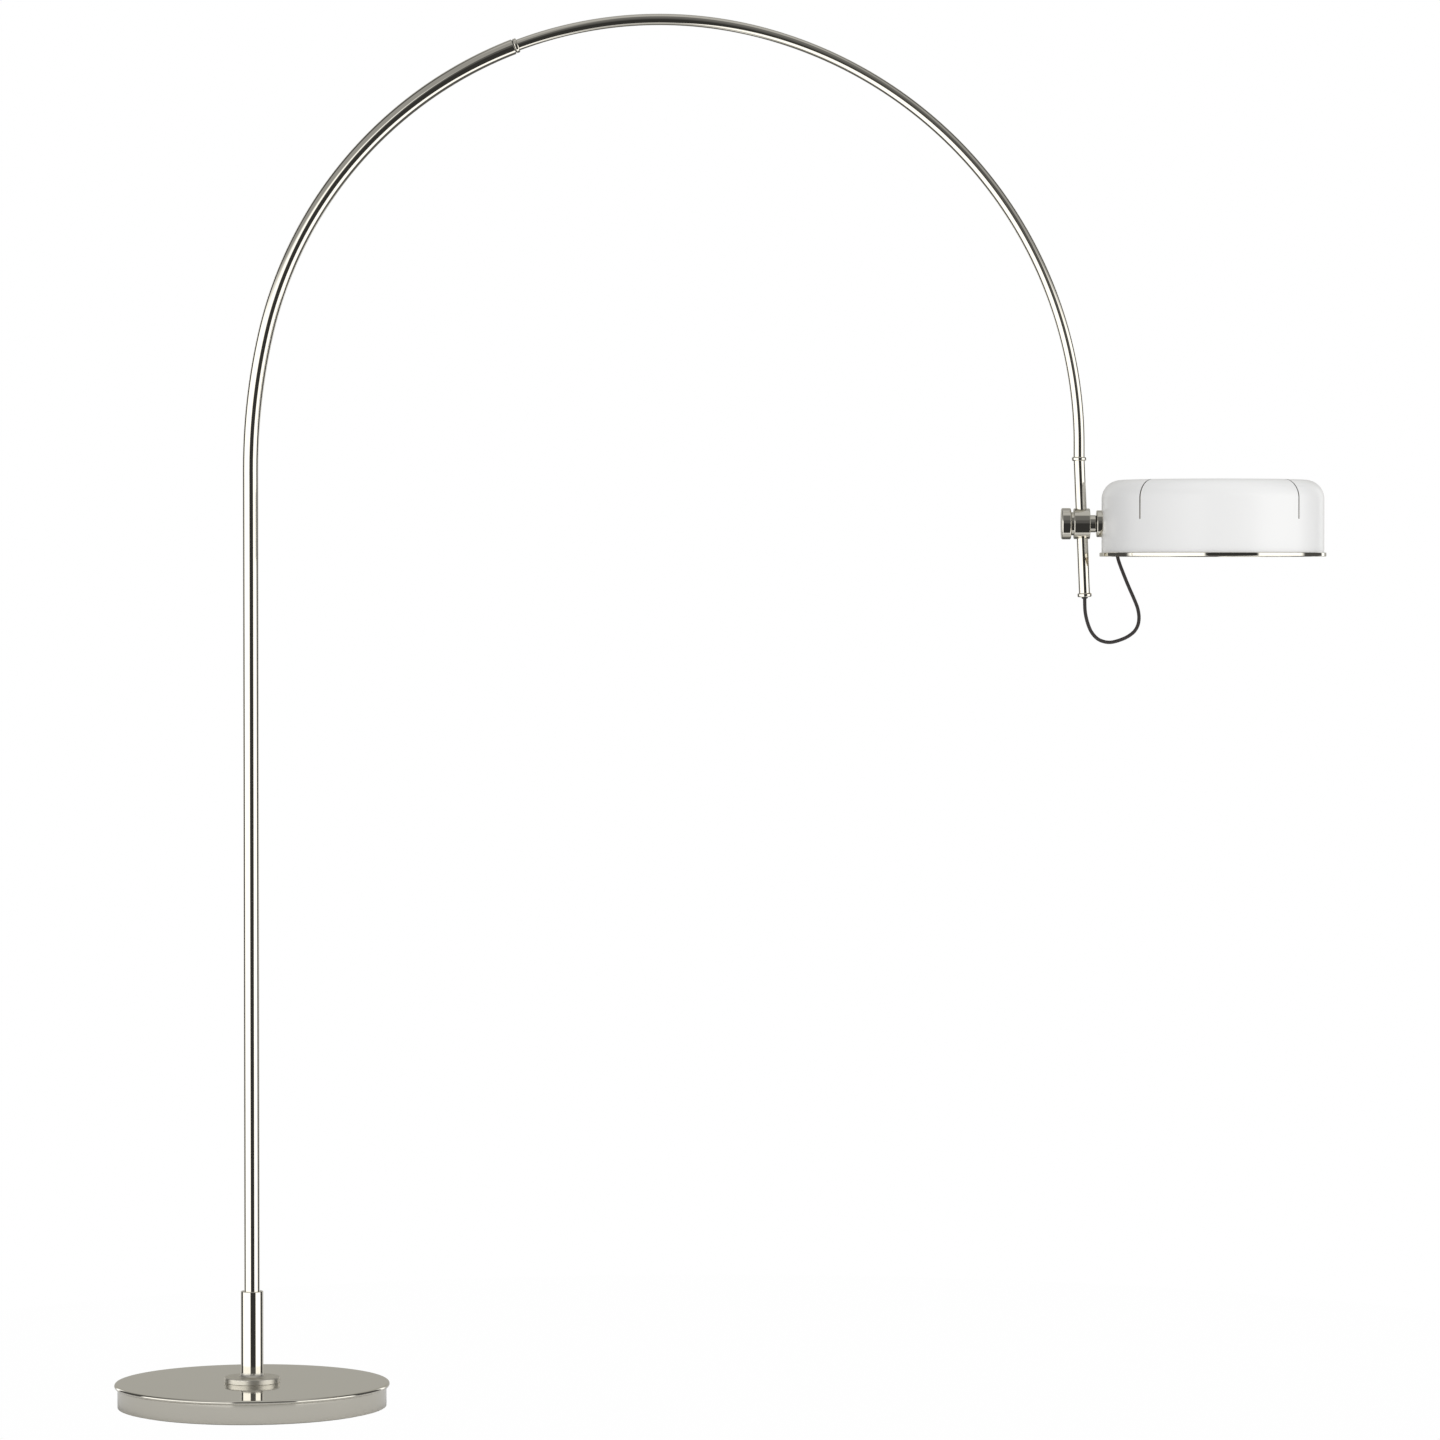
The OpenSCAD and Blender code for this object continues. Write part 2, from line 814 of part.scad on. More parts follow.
module pressure_pad() {
    color(BRASS)
        difference() {
            along_x(screw_tip + face_gap)
                cylinder(r = clamp_screw_d / 2 + running_gap, h = liner_wall + 1);
            clamp_tunnel(upper_r + running_gap);
        }
}

module pivot_boss() {
    color(NICKEL)
        along_x(clamp_right)
            pipe(pivot_boss_d / 2, spindle_d / 2, pivot_boss_len);
}

module tilt_spindle() {
    color(STEEL)
        difference() {
            along_x(spindle_from)
                pipe(spindle_d / 2, spindle_bore / 2, spindle_to - spindle_from);
            clamp_tunnel(liner_r + 0.1);
        }
}

module wave_washer() {
    color(STEEL)
        along_x(wave_from)
            pipe(spindle_d / 2 + 4, spindle_d / 2 + running_gap, wave_t);
}

module tilt_nut() {
    color(STEEL)
        along_x(nut_from)
            difference() {
                hex(tilt_nut_af, tilt_nut_t);
                translate([0, 0, -1])
                    cylinder(d = spindle_d, h = tilt_nut_t + 2);
            }
}

// Hub on the spindle's end, where the cord enters from below and the leads leave along the axis
module cord_hub() {
    color(BLACK)
        difference() {
            union() {
                along_x(hub_x)
                    beaded_ring(0, hub_d / 2, hub_len, 1.5);
                translate([hub_x, 0, pivot_z - hub_drop])
                    cylinder(d = hub_neck_d, h = hub_drop);
            }
            along_x(hub_from - 1)
                cylinder(d = spindle_d, h = spindle_to - hub_from + 1);
        }
}

// ---- Cord to the shade ----
function blend4(a, b, c, d, t) = 0.5 * (2 * b + (c - a) * t + (2 * a - 5 * b + 4 * c - d) * t * t
    + (3 * b - a - 3 * c + d) * t * t * t);
function route_at(p, i, t) = blend4(p[max(i - 1, 0)], p[i], p[i + 1], p[min(i + 2, len(p) - 1)], t);
function smooth(p) = concat(
    [for (i = [0 : len(p) - 2], k = [0 : cord_steps - 1]) route_at(p, i, k / cord_steps)],
    [p[len(p) - 1]]
);
function heading(p, i) = let (d = p[min(i + 1, len(p) - 1)] - p[max(i - 1, 0)]) d / norm(d);

module head_cord() {
    path = smooth(cord_points);
    n = cord_sides;
    last = len(path) - 1;
    exit_way = [sin(drop_lean), -cos(drop_lean)];
    rings = [for (i = [0 : last], k = [0 : n - 1])
        let (d = i == 0 ? exit_way : i == last ? [0, 1] : heading(path, i),
            a = k * 360 / n, side = cord_d / 2 * cos(a))
        [path[i][0] - d[1] * side, cord_d / 2 * sin(a), path[i][1] + d[0] * side]];
    walls = [for (i = [0 : last - 1], k = [0 : n - 1])
        [i * n + k, i * n + (k + 1) % n, (i + 1) * n + (k + 1) % n, (i + 1) * n + k]];
    ends = [[for (k = [0 : n - 1]) n - 1 - k], [for (k = [0 : n - 1]) last * n + k]];
    color(BLACK)
        polyhedron(rings, concat(walls, ends));
}

// ---- Knob ----
module clamp_knob() {
    color(NICKEL)
        along_x(knob_left + knob_t / 2)
            difference() {
                beaded_ring(0, knob_d / 2, knob_t, 2);
                translate([0, 0, knob_t / 2 - 10])
                    cylinder(d = clamp_screw_d, h = 11);
            }
}

module clamp_screw() {
    color(STEEL)
        along_x(knob_right - 10)
            cylinder(d = clamp_screw_d, h = screw_tip - knob_right + 10);
}

// ---- Shade side of the tilt pivot ----
module friction_washer() {
    color(BLACK)
        along_x(friction_from)
            pipe(pivot_boss_d / 2 - 0.5, spindle_d / 2 + running_gap, friction_washer_t);
}

module pivot_disc() {
    color(NICKEL)
        difference() {
            along_x(pivot_disc_from) {
                translate([0, 0, 2])
                    beaded_ring(0, pivot_disc_d / 2, 4, 1.2);
                translate([0, 0, 2])
                    cylinder(d = pivot_disc_d, h = pivot_disc_t + 2);
            }
            at_shade(pivot_z - pivot_disc_d)
                cylinder(r = shade_r, h = 2 * pivot_disc_d, $fn = 180);
            along_x(pivot_disc_from - 1)
                cylinder(r = spindle_d / 2 + running_gap, h = 2 * pivot_disc_t);
        }
}

module backing_washer() {
    color(STEEL)
        difference() {
            intersection() {
                along_x(shade_left)
                    cylinder(d = backing_d, h = backing_end - shade_left);
                at_shade(pivot_z - pivot_disc_d)
                    cylinder(r = shade_r - shade_wall, h = 2 * pivot_disc_d, $fn = 180);
            }
            along_x(shade_left - 1)
                cylinder(r = spindle_d / 2 + running_gap, h = 2 * backing_t + shade_wall);
        }
}

// ---- Shade ----
module shade_outline(r, h, corner) {
    square([r - corner, h]);
    square([r, h - corner]);
    translate([r - corner, h - corner])
        circle(corner, $fn = 96);
}

module shade_shell() {
    h = shade_top - shell_z;
    color(WHITE)
        difference() {
            at_shade(shell_z)
                rotate_extrude($fn = 180)
                    difference() {
                        shade_outline(shade_r, h, shoulder_r);
                        translate([0, -1])
                            shade_outline(shade_r - shade_wall, h - shade_wall + 1, shoulder_r - shade_wall);
                    }
            at_shade(pivot_z + slit_above_axis)
                around(4, slit_from_r, 45)
                    translate([0, -slit_w / 2, 0])
                        cube([shade_r, slit_w, shade_above]);
            along_x(shade_left - 1)
                cylinder(r = spindle_d / 2 + running_gap, h = shade_wall + 5);
            rim_screw_set(0);
        }
}

module rim_screw_set(head) {
    shank_from = rim_in_r;
    at_shade(rim_screw_z)
        around(4, 0)
            rotate([0, 90, 0]) {
                translate([0, 0, shank_from])
                    cylinder(d = rim_screw_d, h = shade_r - 0.5 - shank_from, $fn = 32);
                if (head > 0)
                    translate([0, 0, shank_from - head])
                        cylinder(d = rim_screw_head_d, h = head, $fn = 32);
            }
}

module shade_rim() {
    edge = 1.8;
    color(NICKEL)
        difference() {
            at_shade(rim_z)
                rotate_extrude($fn = 180) {
                    translate([rim_in_r, 0])
                        square([rim_depth - edge, rim_h]);
                    translate([rim_in_r, edge])
                        square([rim_depth, rim_h - 2 * edge]);
                    for (z = [edge, rim_h - edge])
                        translate([rim_r - edge, z])
                            circle(edge, $fn = 32);
                    translate([rim_in_r, rim_h / 2])
                        square([lip_r - rim_in_r, rim_h / 2 + rim_lip_h]);
                }
            rim_screw_set(0);
            at_shade(rim_screw_z)
                around(4, 0)
                    rotate([0, 90, 0])
                        cylinder(d = rim_screw_head_d, h = rim_in_r + 0.2, $fn = 32);
        }
}

module rim_screws() {
    color(STEEL)
        rim_screw_set(1.2);
}

// ---- Lamp inside the shade ----
module lamp_stem() {
    color(STEEL)
        at_shade(box_top) {
            cylinder(d = stem_d, h = shade_top - shade_wall - box_top);
            translate([0, 0, shade_top - shade_wall - stem_flange_t - box_top])
                cylinder(d = stem_flange_d, h = stem_flange_t);
        }
}

module junction_box() {
    color(WHITE)
        difference() {
            at_shade(box_bottom)
                difference() {
                    cylinder(d = box_d, h = box_h);
                    translate([0, 0, -1])
                        cylinder(d = box_d - 2 * box_wall, h = box_h - box_wall + 1);
                }
            along_x(shade_x - box_d)
                cylinder(d = conduit_d, h = box_d);
        }
}

module junction_cover() {
    color(WHITE)
        at_shade(box_bottom - cover_t) {
            translate([0, 0, cover_t / 2])
                beaded_ring(0, box_d / 2, cover_t, 0.8);
            translate([0, 0, cover_t])
                cylinder(d = box_d - 2 * box_wall - 2 * slip_gap, h = 2);
        }
}

module terminal_block() {
    block = [20, 16, 12];
    color(NYLON)
        at_shade(box_top - box_wall - block[2] / 2)
            cube(block, center = true);
}

module lead_conduit() {
    color(STEEL)
        along_x(conduit_from)
            pipe(conduit_d / 2, conduit_d / 2 - 1, conduit_to - conduit_from);
}

module each_side() {
    at_shade(pivot_z)
        for (s = [-1, 1])
            rotate([-s * 90, 0, 0])
                children();
}

module lampholders() {
    color(WHITE)
        difference() {
            each_side()
                difference() {
                    union() {
                        cylinder(d = holder_d - 6, h = holder_end);
                        translate([0, 0, box_d / 2 + 8])
                            cylinder(d = holder_d, h = holder_len - 8);
                    }
                    translate([0, 0, cap_from])
                        cylinder(d = holder_bore_d, h = cap_len + 1);
                }
            at_shade(box_bottom - 10)
                cylinder(d = box_d, h = box_h + 20);
        }
}

module bulb_caps() {
    color(BRASS)
        each_side()
            translate([0, 0, cap_from])
                difference() {
                    cylinder(d = cap_d, h = cap_len);
                    translate([0, 0, cap_floor])
                        cylinder(d = cap_d - 2 * cap_wall, h = cap_len);
                }
}

// The bulb's outline drawn in by a wall, standing on its neck
module bulb_form(wall) {
    ball_r = bulb_d / 2;
    reach = bulb_out - ball_r;
    lean = asin((ball_r - bulb_neck_r) / reach);
    r = ball_r - wall;
    translate([0, 0, reach])
        sphere(r = r);
    cylinder(r1 = bulb_neck_r - wall, r2 = r * cos(lean), h = reach - r * sin(lean));
}

module bulb_glass() {
    color(WHITE)
        each_side()
            translate([0, 0, holder_end])
                difference() {
                    bulb_form(0);
                    bulb_form(bulb_wall);
                    translate([0, 0, -1])
                        cylinder(r = bulb_neck_r - bulb_wall, h = 2);
                }
}

foot_pad();
bottom_plate();
bottom_screws();
base_weight();
base_skirt();
base_cover();
mains_grommet();
cable_clip();
foot_flange();
column_sleeve();
sleeve_set_screw();
foot_stud();
stud_washer();
stud_nut();
lower_tube();
joint_bush();
joint_ring();
joint_set_screw();
upper_tube();
stop_ring();
drop_joiner();
drop_tube();
end_collar();
inner_cable();
cord_gland();
clamp_body();
clamp_liner();
pressure_pad();
pivot_boss();
tilt_spindle();
wave_washer();
tilt_nut();
cord_hub();
head_cord();
clamp_knob();
clamp_screw();
pivot_disc();
friction_washer();
backing_washer();
shade_shell();
shade_rim();
rim_screws();
lamp_stem();
junction_box();
junction_cover();
terminal_block();
lead_conduit();
lampholders();
bulb_caps();
bulb_glass();
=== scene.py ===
import json
import math
import bpy
import numpy as np
from mathutils import Matrix, Vector


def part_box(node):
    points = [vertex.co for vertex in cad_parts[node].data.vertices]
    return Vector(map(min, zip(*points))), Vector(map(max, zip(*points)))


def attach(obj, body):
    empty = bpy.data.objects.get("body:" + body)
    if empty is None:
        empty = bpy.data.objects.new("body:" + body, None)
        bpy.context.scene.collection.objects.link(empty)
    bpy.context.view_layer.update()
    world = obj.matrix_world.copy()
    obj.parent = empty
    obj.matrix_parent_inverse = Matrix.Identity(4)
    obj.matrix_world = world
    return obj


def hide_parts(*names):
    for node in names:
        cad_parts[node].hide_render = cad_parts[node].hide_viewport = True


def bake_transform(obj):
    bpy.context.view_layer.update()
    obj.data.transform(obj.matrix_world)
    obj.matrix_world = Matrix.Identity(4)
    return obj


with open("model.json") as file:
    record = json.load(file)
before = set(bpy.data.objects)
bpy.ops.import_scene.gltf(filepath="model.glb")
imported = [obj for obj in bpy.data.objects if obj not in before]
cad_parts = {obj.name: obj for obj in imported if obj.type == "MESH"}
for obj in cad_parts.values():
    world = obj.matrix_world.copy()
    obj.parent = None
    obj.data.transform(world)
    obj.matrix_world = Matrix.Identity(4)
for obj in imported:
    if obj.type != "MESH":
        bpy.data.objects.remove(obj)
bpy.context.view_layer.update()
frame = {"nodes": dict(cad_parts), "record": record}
MM = 0.001

# ---- Sizes, in metres: what the boxes of the CAD nodes don't say ----
SHEET = 1.5 * MM            # sheet of the base cover and skirt
LIP_H = 6.5 * MM            # rolled lip of the base cover
SKIRT_FLANGE = 14 * MM
STUD_R = 10 * MM
COVE_R = 6 * MM
SLIP_GAP = 0.3 * MM
RUNNING_GAP = 0.06 * MM
LOWER_R = 11 * MM           # column and lower arc tube
UPPER_R = 8 * MM            # upper arc tube and drop tube
TUBE_WALL = 1.5 * MM
BEND_Z = 1.333              # where the column starts to bend
LEAD_R, LEAD_DEG = 0.860, 13
CROWN_R, JOINT_DEG, FALL_DEG = 0.573, 111, 75
FALL_R, FALL_STRAIGHT = 0.603, 0.020
DROP_LEAN = math.radians(2.4)
DROP_LEN = 0.196
GROOVE = 1 * MM             # between the lower tube's end and the joint ring
RING_W = 5.5 * MM
JOINT_RING_R, STOP_RING_R = 10.5 * MM, 10.25 * MM
COLLAR_BORE_R = 4.46 * MM
JOINT_REACH = 30 * MM       # how far the upper tube goes into the lower one
LINER_WALL, LINER_HALF = 1.2 * MM, 18 * MM
PRESS_GAP = 0.05 * MM
GROMMET_HOLE_R = 5 * MM
CLAMP_AT = 0.092            # from the stop ring down the drop tube to the clamp
SHADE_WALL = 1.2 * MM
SHOULDER_R = 27 * MM
SLIT_W = 2 * MM
SLIT_FROM_R = 0.060         # where the slits start on the shade's top
SLIT_ABOVE_AXIS = 6 * MM    # where they end, above the tilt axis
RIM_DEPTH = 7 * MM
BOX_WALL = 2 * MM
LEAD_TUBE_WALL = 1 * MM
SPINDLE_R = 5 * MM
CORD_D = 5 * MM
CORD_EXIT = (1.183904, 0, 1.150257)
CORD_ROUTE = [
    (1.1845, 1.133), (1.1875, 1.118), (1.193, 1.104), (1.2015, 1.094), (1.211, 1.0895),
    (1.221, 1.0885), (1.232, 1.091), (1.244, 1.096), (1.254, 1.1035), (1.2595, 1.113),
    (1.261, 1.1245), (1.259, 1.137), (1.254, 1.150), (1.2465, 1.167), (1.2395, 1.184),
    (1.232, 1.204), (1.2285, 1.220),
]


# ---- Camera, fitted to the lamp's outline in the photograph ----
LENS_MM = 148.29
CAMERA_AT, CAMERA_AIM = (0.666, -8.422, 1.18), (0.6662, 0, 0.9781)


def make_camera():
    data = bpy.data.cameras.new("camera")
    data.lens = LENS_MM
    data.sensor_width = 36
    data.clip_end = 100
    camera = bpy.data.objects.new("camera", data)
    bpy.context.scene.collection.objects.link(camera)
    camera.location = CAMERA_AT
    aim = Vector(CAMERA_AIM) - camera.location
    camera.rotation_euler = aim.to_track_quat("-Z", "Y").to_euler()
    bpy.context.scene.camera = camera


# ---- Node helpers ----
class Graph:
    """A node tree with short calls for the few nodes that the materials use."""

    def __init__(self, tree):
        self.tree = tree
        self.tree.nodes.clear()

    def add(self, kind, **settings):
        node = self.tree.nodes.new(kind)
        for key, value in settings.items():
            setattr(node, key, value)
        return node

    def join(self, source, target):
        self.tree.links.new(source, target)

    def put(self, socket, value):
        if isinstance(value, bpy.types.NodeSocket):
            self.join(value, socket)
        else:
            socket.default_value = value

    def math(self, kind, a, b=0.0, clamp=False):
        node = self.add("ShaderNodeMath", operation=kind, use_clamp=clamp)
        self.put(node.inputs[0], a)
        self.put(node.inputs[1], b)
        return node.outputs[0]

    def ramp(self, value, low, high, out_low=0.0, out_high=1.0):
        """Smooth step of value from low to high."""
        node = self.add("ShaderNodeMapRange", interpolation_type="SMOOTHSTEP")
        self.put(node.inputs["Value"], value)
        limits = {"From Min": low, "From Max": high, "To Min": out_low, "To Max": out_high}
        for name, number in limits.items():
            node.inputs[name].default_value = number
        return node.outputs["Result"]

    def mix(self, share, a, b):
        node = self.add("ShaderNodeMix", data_type="RGBA")
        self.put(node.inputs["Factor"], share)
        self.put(node.inputs["A"], a)
        self.put(node.inputs["B"], b)
        return node.outputs["Result"]

    def noise(self, vector, scale, detail=2.0, roughness=0.5):
        node = self.add("ShaderNodeTexNoise")
        self.put(node.inputs["Vector"], vector)
        node.inputs["Scale"].default_value = scale
        node.inputs["Detail"].default_value = detail
        node.inputs["Roughness"].default_value = roughness
        return node.outputs["Fac"]

    def bump(self, height, strength, distance, normal=None):
        node = self.add("ShaderNodeBump")
        node.inputs["Strength"].default_value = strength
        node.inputs["Distance"].default_value = distance
        self.put(node.inputs["Height"], height)
        if normal is not None:
            self.put(node.inputs["Normal"], normal)
        return node.outputs["Normal"]

    def place(self, stretch=(1, 1, 1)):
        """Object coordinates, stretched along its axes."""
        where = self.add("ShaderNodeTexCoord").outputs["Object"]
        node = self.add("ShaderNodeMapping")
        self.put(node.inputs["Vector"], where)
        node.inputs["Scale"].default_value = stretch
        return node.outputs["Vector"]


def grey(level):
    return (level, level, level, 1.0)


def tint(colour, factor=1.0):
    return (colour[0] * factor, colour[1] * factor, colour[2] * factor, 1.0)


# ---- World and lights: azimuths from the camera's side and heights above the horizon, in degrees ----
WHITE_PANEL = 1.7
CEILING, CEILING_EDGE = 0.42, (14, 26)
OVERHEAD, OVERHEAD_EDGE = 0.62, (58, 70)
FLAG, FLAG_SIDES, FLAG_HEIGHTS = 0.09, (100, 142), (-70, 60)
BACK_CARD, BACK_EDGE, BACK_TOP = (0.45, 0.44, 0.405, 1.0), (146, 156), (34, 50)
LOW_BACK, LOW_BACK_EDGE, LOW_BACK_HEIGHTS = 0.12, (84, 96), (-62, -20)
FRONT_CARD = (-12, 42)
FRONT_STEPS = ((20, 62, 5, 0.2), (-6, 26, 5, 0.12), (-72, 3, 2, 0.045))    # heights, soft edge, level
NADIR, NADIR_EDGE = 0.62, (-80, -68)
SOFT_LIGHT = 0.79           # even part of the soft light on matt surfaces
KEY_SIDE = (0.17, -0.19, -0.04)
FLOOR_FADE = (0.36, 0.46)   # distance from the column at which mirrors lose sight of the floor


def between(g, value, low, high, soft):
    """1 where value lies from low to high, with soft edges."""
    rise = g.ramp(value, low - soft, low + soft)
    fall = g.ramp(value, high - soft, high + soft, 1.0, 0.0)
    return g.math("MULTIPLY", rise, fall)


def make_world():
    """A white studio: white to the camera, soft light on matt surfaces, panels and cards in gloss."""
    world = bpy.data.worlds.new("studio")
    world.use_nodes = True
    bpy.context.scene.world = world
    g = Graph(world.node_tree)
    way = g.add("ShaderNodeTexCoord").outputs["Generated"]
    parts = g.add("ShaderNodeSeparateXYZ")
    g.join(way, parts.inputs[0])
    x, y, z = parts.outputs
    azimuth = g.math("DEGREES", g.math("ARCTAN2", x, g.math("MULTIPLY", y, -1.0)))
    around = g.math("ABSOLUTE", azimuth)
    height = g.math("DEGREES", g.math("ARCSINE", z))
    colour = g.mix(g.ramp(height, *CEILING_EDGE), grey(WHITE_PANEL), grey(CEILING))
    colour = g.mix(g.ramp(height, *OVERHEAD_EDGE), colour, grey(OVERHEAD))
    flags = g.math("MULTIPLY", between(g, around, *FLAG_SIDES, 4), between(g, height, *FLAG_HEIGHTS, 10))
    colour = g.mix(flags, colour, grey(FLAG))
    back = g.math("MULTIPLY", g.ramp(around, *BACK_EDGE), g.ramp(height, *BACK_TOP, 1.0, 0.0))
    colour = g.mix(back, colour, BACK_CARD)
    low = g.math("MULTIPLY", g.ramp(around, *LOW_BACK_EDGE), between(g, height, *LOW_BACK_HEIGHTS, 4))
    colour = g.mix(low, colour, grey(LOW_BACK))
    front = between(g, azimuth, *FRONT_CARD, 2)
    for start, end, blur, tone in FRONT_STEPS:
        step = g.math("MULTIPLY", front, between(g, height, start, end, blur))
        colour = g.mix(step, colour, grey(tone))
    colour = g.mix(g.ramp(height, *NADIR_EDGE, 1.0, 0.0), colour, grey(NADIR))
    lean = g.add("ShaderNodeVectorMath", operation="DOT_PRODUCT")
    g.join(way, lean.inputs[0])
    lean.inputs[1].default_value = KEY_SIDE
    level = g.math("ADD", lean.outputs["Value"], SOFT_LIGHT)
    soft = g.add("ShaderNodeCombineColor")
    for socket in soft.inputs[:3]:
        g.join(level, socket)
    path = g.add("ShaderNodeLightPath")
    colour = g.mix(path.outputs["Is Diffuse Ray"], colour, soft.outputs[0])
    colour = g.mix(path.outputs["Is Camera Ray"], colour, grey(1.0))
    background = g.add("ShaderNodeBackground")
    g.join(colour, background.inputs["Color"])
    g.join(background.outputs[0], g.add("ShaderNodeOutputWorld").inputs["Surface"])


def area_light(name, place, target, size, watts):
    data = bpy.data.lights.new(name, "AREA")
    data.shape = "DISK"
    data.size = size
    data.energy = watts
    light = bpy.data.objects.new(name, data)
    bpy.context.scene.collection.objects.link(light)
    light.location = place
    light.rotation_euler = (Vector(target) - Vector(place)).to_track_quat("-Z", "Y").to_euler()
    light.visible_glossy = False
    light.visible_camera = False


def make_lights():
    area_light("key", (4.2, -2.6, 2.6), (0.9, 0, 1.0), 2.4, 20)
    area_light("top", (0.4, -0.6, 4.2), (0.6, 0, 0), 2.6, 12)


def make_floor():
    """A pale disc under the lamp. Mirrors see only the part of it near the base, and darker."""
    mesh = bpy.data.meshes.new("floor")
    middle_x, floor_r, steps = 0.66, 1.6, 96
    rim = [(middle_x + floor_r * math.cos(i * math.tau / steps), floor_r * math.sin(i * math.tau / steps), 0)
           for i in range(steps)]
    mesh.from_pydata(rim, [], [list(range(steps))])
    floor = bpy.data.objects.new("floor", mesh)
    bpy.context.scene.collection.objects.link(floor)
    material = bpy.data.materials.new("pale_floor")
    material.use_nodes = True
    g = Graph(material.node_tree)
    speckle = g.noise(g.place(), 220, 3)
    to_camera = g.add("ShaderNodeLightPath").outputs["Is Camera Ray"]
    matt = g.add("ShaderNodeBsdfDiffuse")
    g.join(g.mix(speckle, grey(0.68), grey(0.72)), matt.inputs["Color"])
    near = g.add("ShaderNodeVectorMath", operation="LENGTH")
    g.join(g.place(), near.inputs[0])
    mirrored = g.add("ShaderNodeMixShader")
    g.join(g.ramp(near.outputs["Value"], *FLOOR_FADE), mirrored.inputs[0])
    g.join(matt.outputs[0], mirrored.inputs[1])
    g.join(g.add("ShaderNodeBsdfTransparent").outputs[0], mirrored.inputs[2])
    plain = g.add("ShaderNodeEmission")
    g.join(g.mix(speckle, grey(0.99), grey(1.0)), plain.inputs["Color"])
    seen = g.add("ShaderNodeMixShader")
    g.join(to_camera, seen.inputs[0])
    g.join(mirrored.outputs[0], seen.inputs[1])
    g.join(plain.outputs[0], seen.inputs[2])
    g.join(seen.outputs[0], g.add("ShaderNodeOutputMaterial").inputs["Surface"])
    mesh.materials.append(material)


# ---- Materials ----
def surface(name):
    """A new material with its graph and its Principled shader."""
    material = bpy.data.materials.new(name)
    material.use_nodes = True
    g = Graph(material.node_tree)
    shader = g.add("ShaderNodeBsdfPrincipled")
    g.join(shader.outputs[0], g.add("ShaderNodeOutputMaterial").inputs["Surface"])
    return material, g, shader


def polished_metal(name, colour, rough_low, rough_high):
    """Bright plated metal: faint smudges, hairline polishing marks and slight waviness."""
    material, g, shader = surface(name)
    shader.inputs["Metallic"].default_value = 1.0
    where = g.place()
    smudge = g.noise(where, 9, 4, 0.6)
    g.join(g.mix(smudge, tint(colour, 0.97), tint(colour, 1.02)), shader.inputs["Base Color"])
    hairlines = g.noise(g.place((1, 1, 0.06)), 1500, 2, 0.7)
    rough = g.math("ADD", g.ramp(smudge, 0.35, 0.7, rough_low, rough_high),
                   g.math("MULTIPLY", hairlines, 0.02))
    g.join(rough, shader.inputs["Roughness"])
    g.join(g.bump(hairlines, 0.006, 0.00002), shader.inputs["Normal"])
    return material


def brushed_metal(name, colour, rough, grain=700):
    """Zinc-plated or turned steel: fine turning marks and a dull, uneven sheen."""
    material, g, shader = surface(name)
    shader.inputs["Metallic"].default_value = 1.0
    marks = g.noise(g.place((1, 1, 8)), grain, 3, 0.7)
    cloud = g.noise(g.place(), 60, 4)
    g.join(g.mix(cloud, tint(colour, 0.85), tint(colour, 1.1)), shader.inputs["Base Color"])
    g.join(g.ramp(marks, 0.2, 0.8, rough - 0.07, rough + 0.09), shader.inputs["Roughness"])
    g.join(g.bump(marks, 0.15, 0.0001), shader.inputs["Normal"])
    return material


def enamel(name, colour, rough, inside=None):
    """Satin enamel with a faint orange peel, and painted shade: near black inside a shell's dome and in its
    slits.
    """
    material, g, shader = surface(name)
    where = g.place()
    tone = g.noise(where, 7, 3)
    outside = g.mix(tone, tint(colour, 0.985), tint(colour, 1.01))
    if inside:
        middle, dome_z, painted_shade_tone = inside
        spoke = g.add("ShaderNodeVectorMath", operation="SUBTRACT")
        g.join(where, spoke.inputs[0])
        spoke.inputs[1].default_value = middle
        facing = g.add("ShaderNodeVectorMath", operation="DOT_PRODUCT")
        g.join(g.add("ShaderNodeTexCoord").outputs["Normal"], facing.inputs[0])
        g.join(spoke.outputs[0], facing.inputs[1])
        height = g.add("ShaderNodeSeparateXYZ")
        g.join(where, height.inputs[0])
        # Painted shade: faces that look into the shell above the tilt axis, and the slits' walls, get a
        # near-black colour.
        under_painted_shade = g.math("MULTIPLY", g.math("LESS_THAN", facing.outputs["Value"], 5 * MM),
                        g.math("GREATER_THAN", height.outputs[2], dome_z))
        outside = g.mix(under_painted_shade, outside, g.mix(tone, tint(painted_shade_tone, 0.9), tint(painted_shade_tone, 1.1)))
    g.join(outside, shader.inputs["Base Color"])
    peel = g.noise(where, 420, 2, 0.45)
    g.join(g.ramp(g.noise(where, 30, 3), 0.3, 0.7, rough - 0.03, rough + 0.03), shader.inputs["Roughness"])
    shader.inputs["Coat Weight"].default_value = 0.25
    shader.inputs["Coat Roughness"].default_value = 0.22
    g.join(g.bump(peel, 0.06, 0.0003), shader.inputs["Normal"])
    return material


def moulded(name, colour, rough, grain, strength):
    """Moulded plastic, rubber, foam or cast iron: a grained skin with uneven gloss."""
    material, g, shader = surface(name)
    where = g.place()
    skin = g.noise(where, grain, 5, 0.6)
    patch = g.noise(where, grain / 15, 3)
    g.join(g.mix(patch, tint(colour, 0.8), tint(colour, 1.2)), shader.inputs["Base Color"])
    g.join(g.ramp(skin, 0.25, 0.75, rough - 0.08, rough + 0.1), shader.inputs["Roughness"])
    g.join(g.bump(skin, strength, 0.0004), shader.inputs["Normal"])
    return material


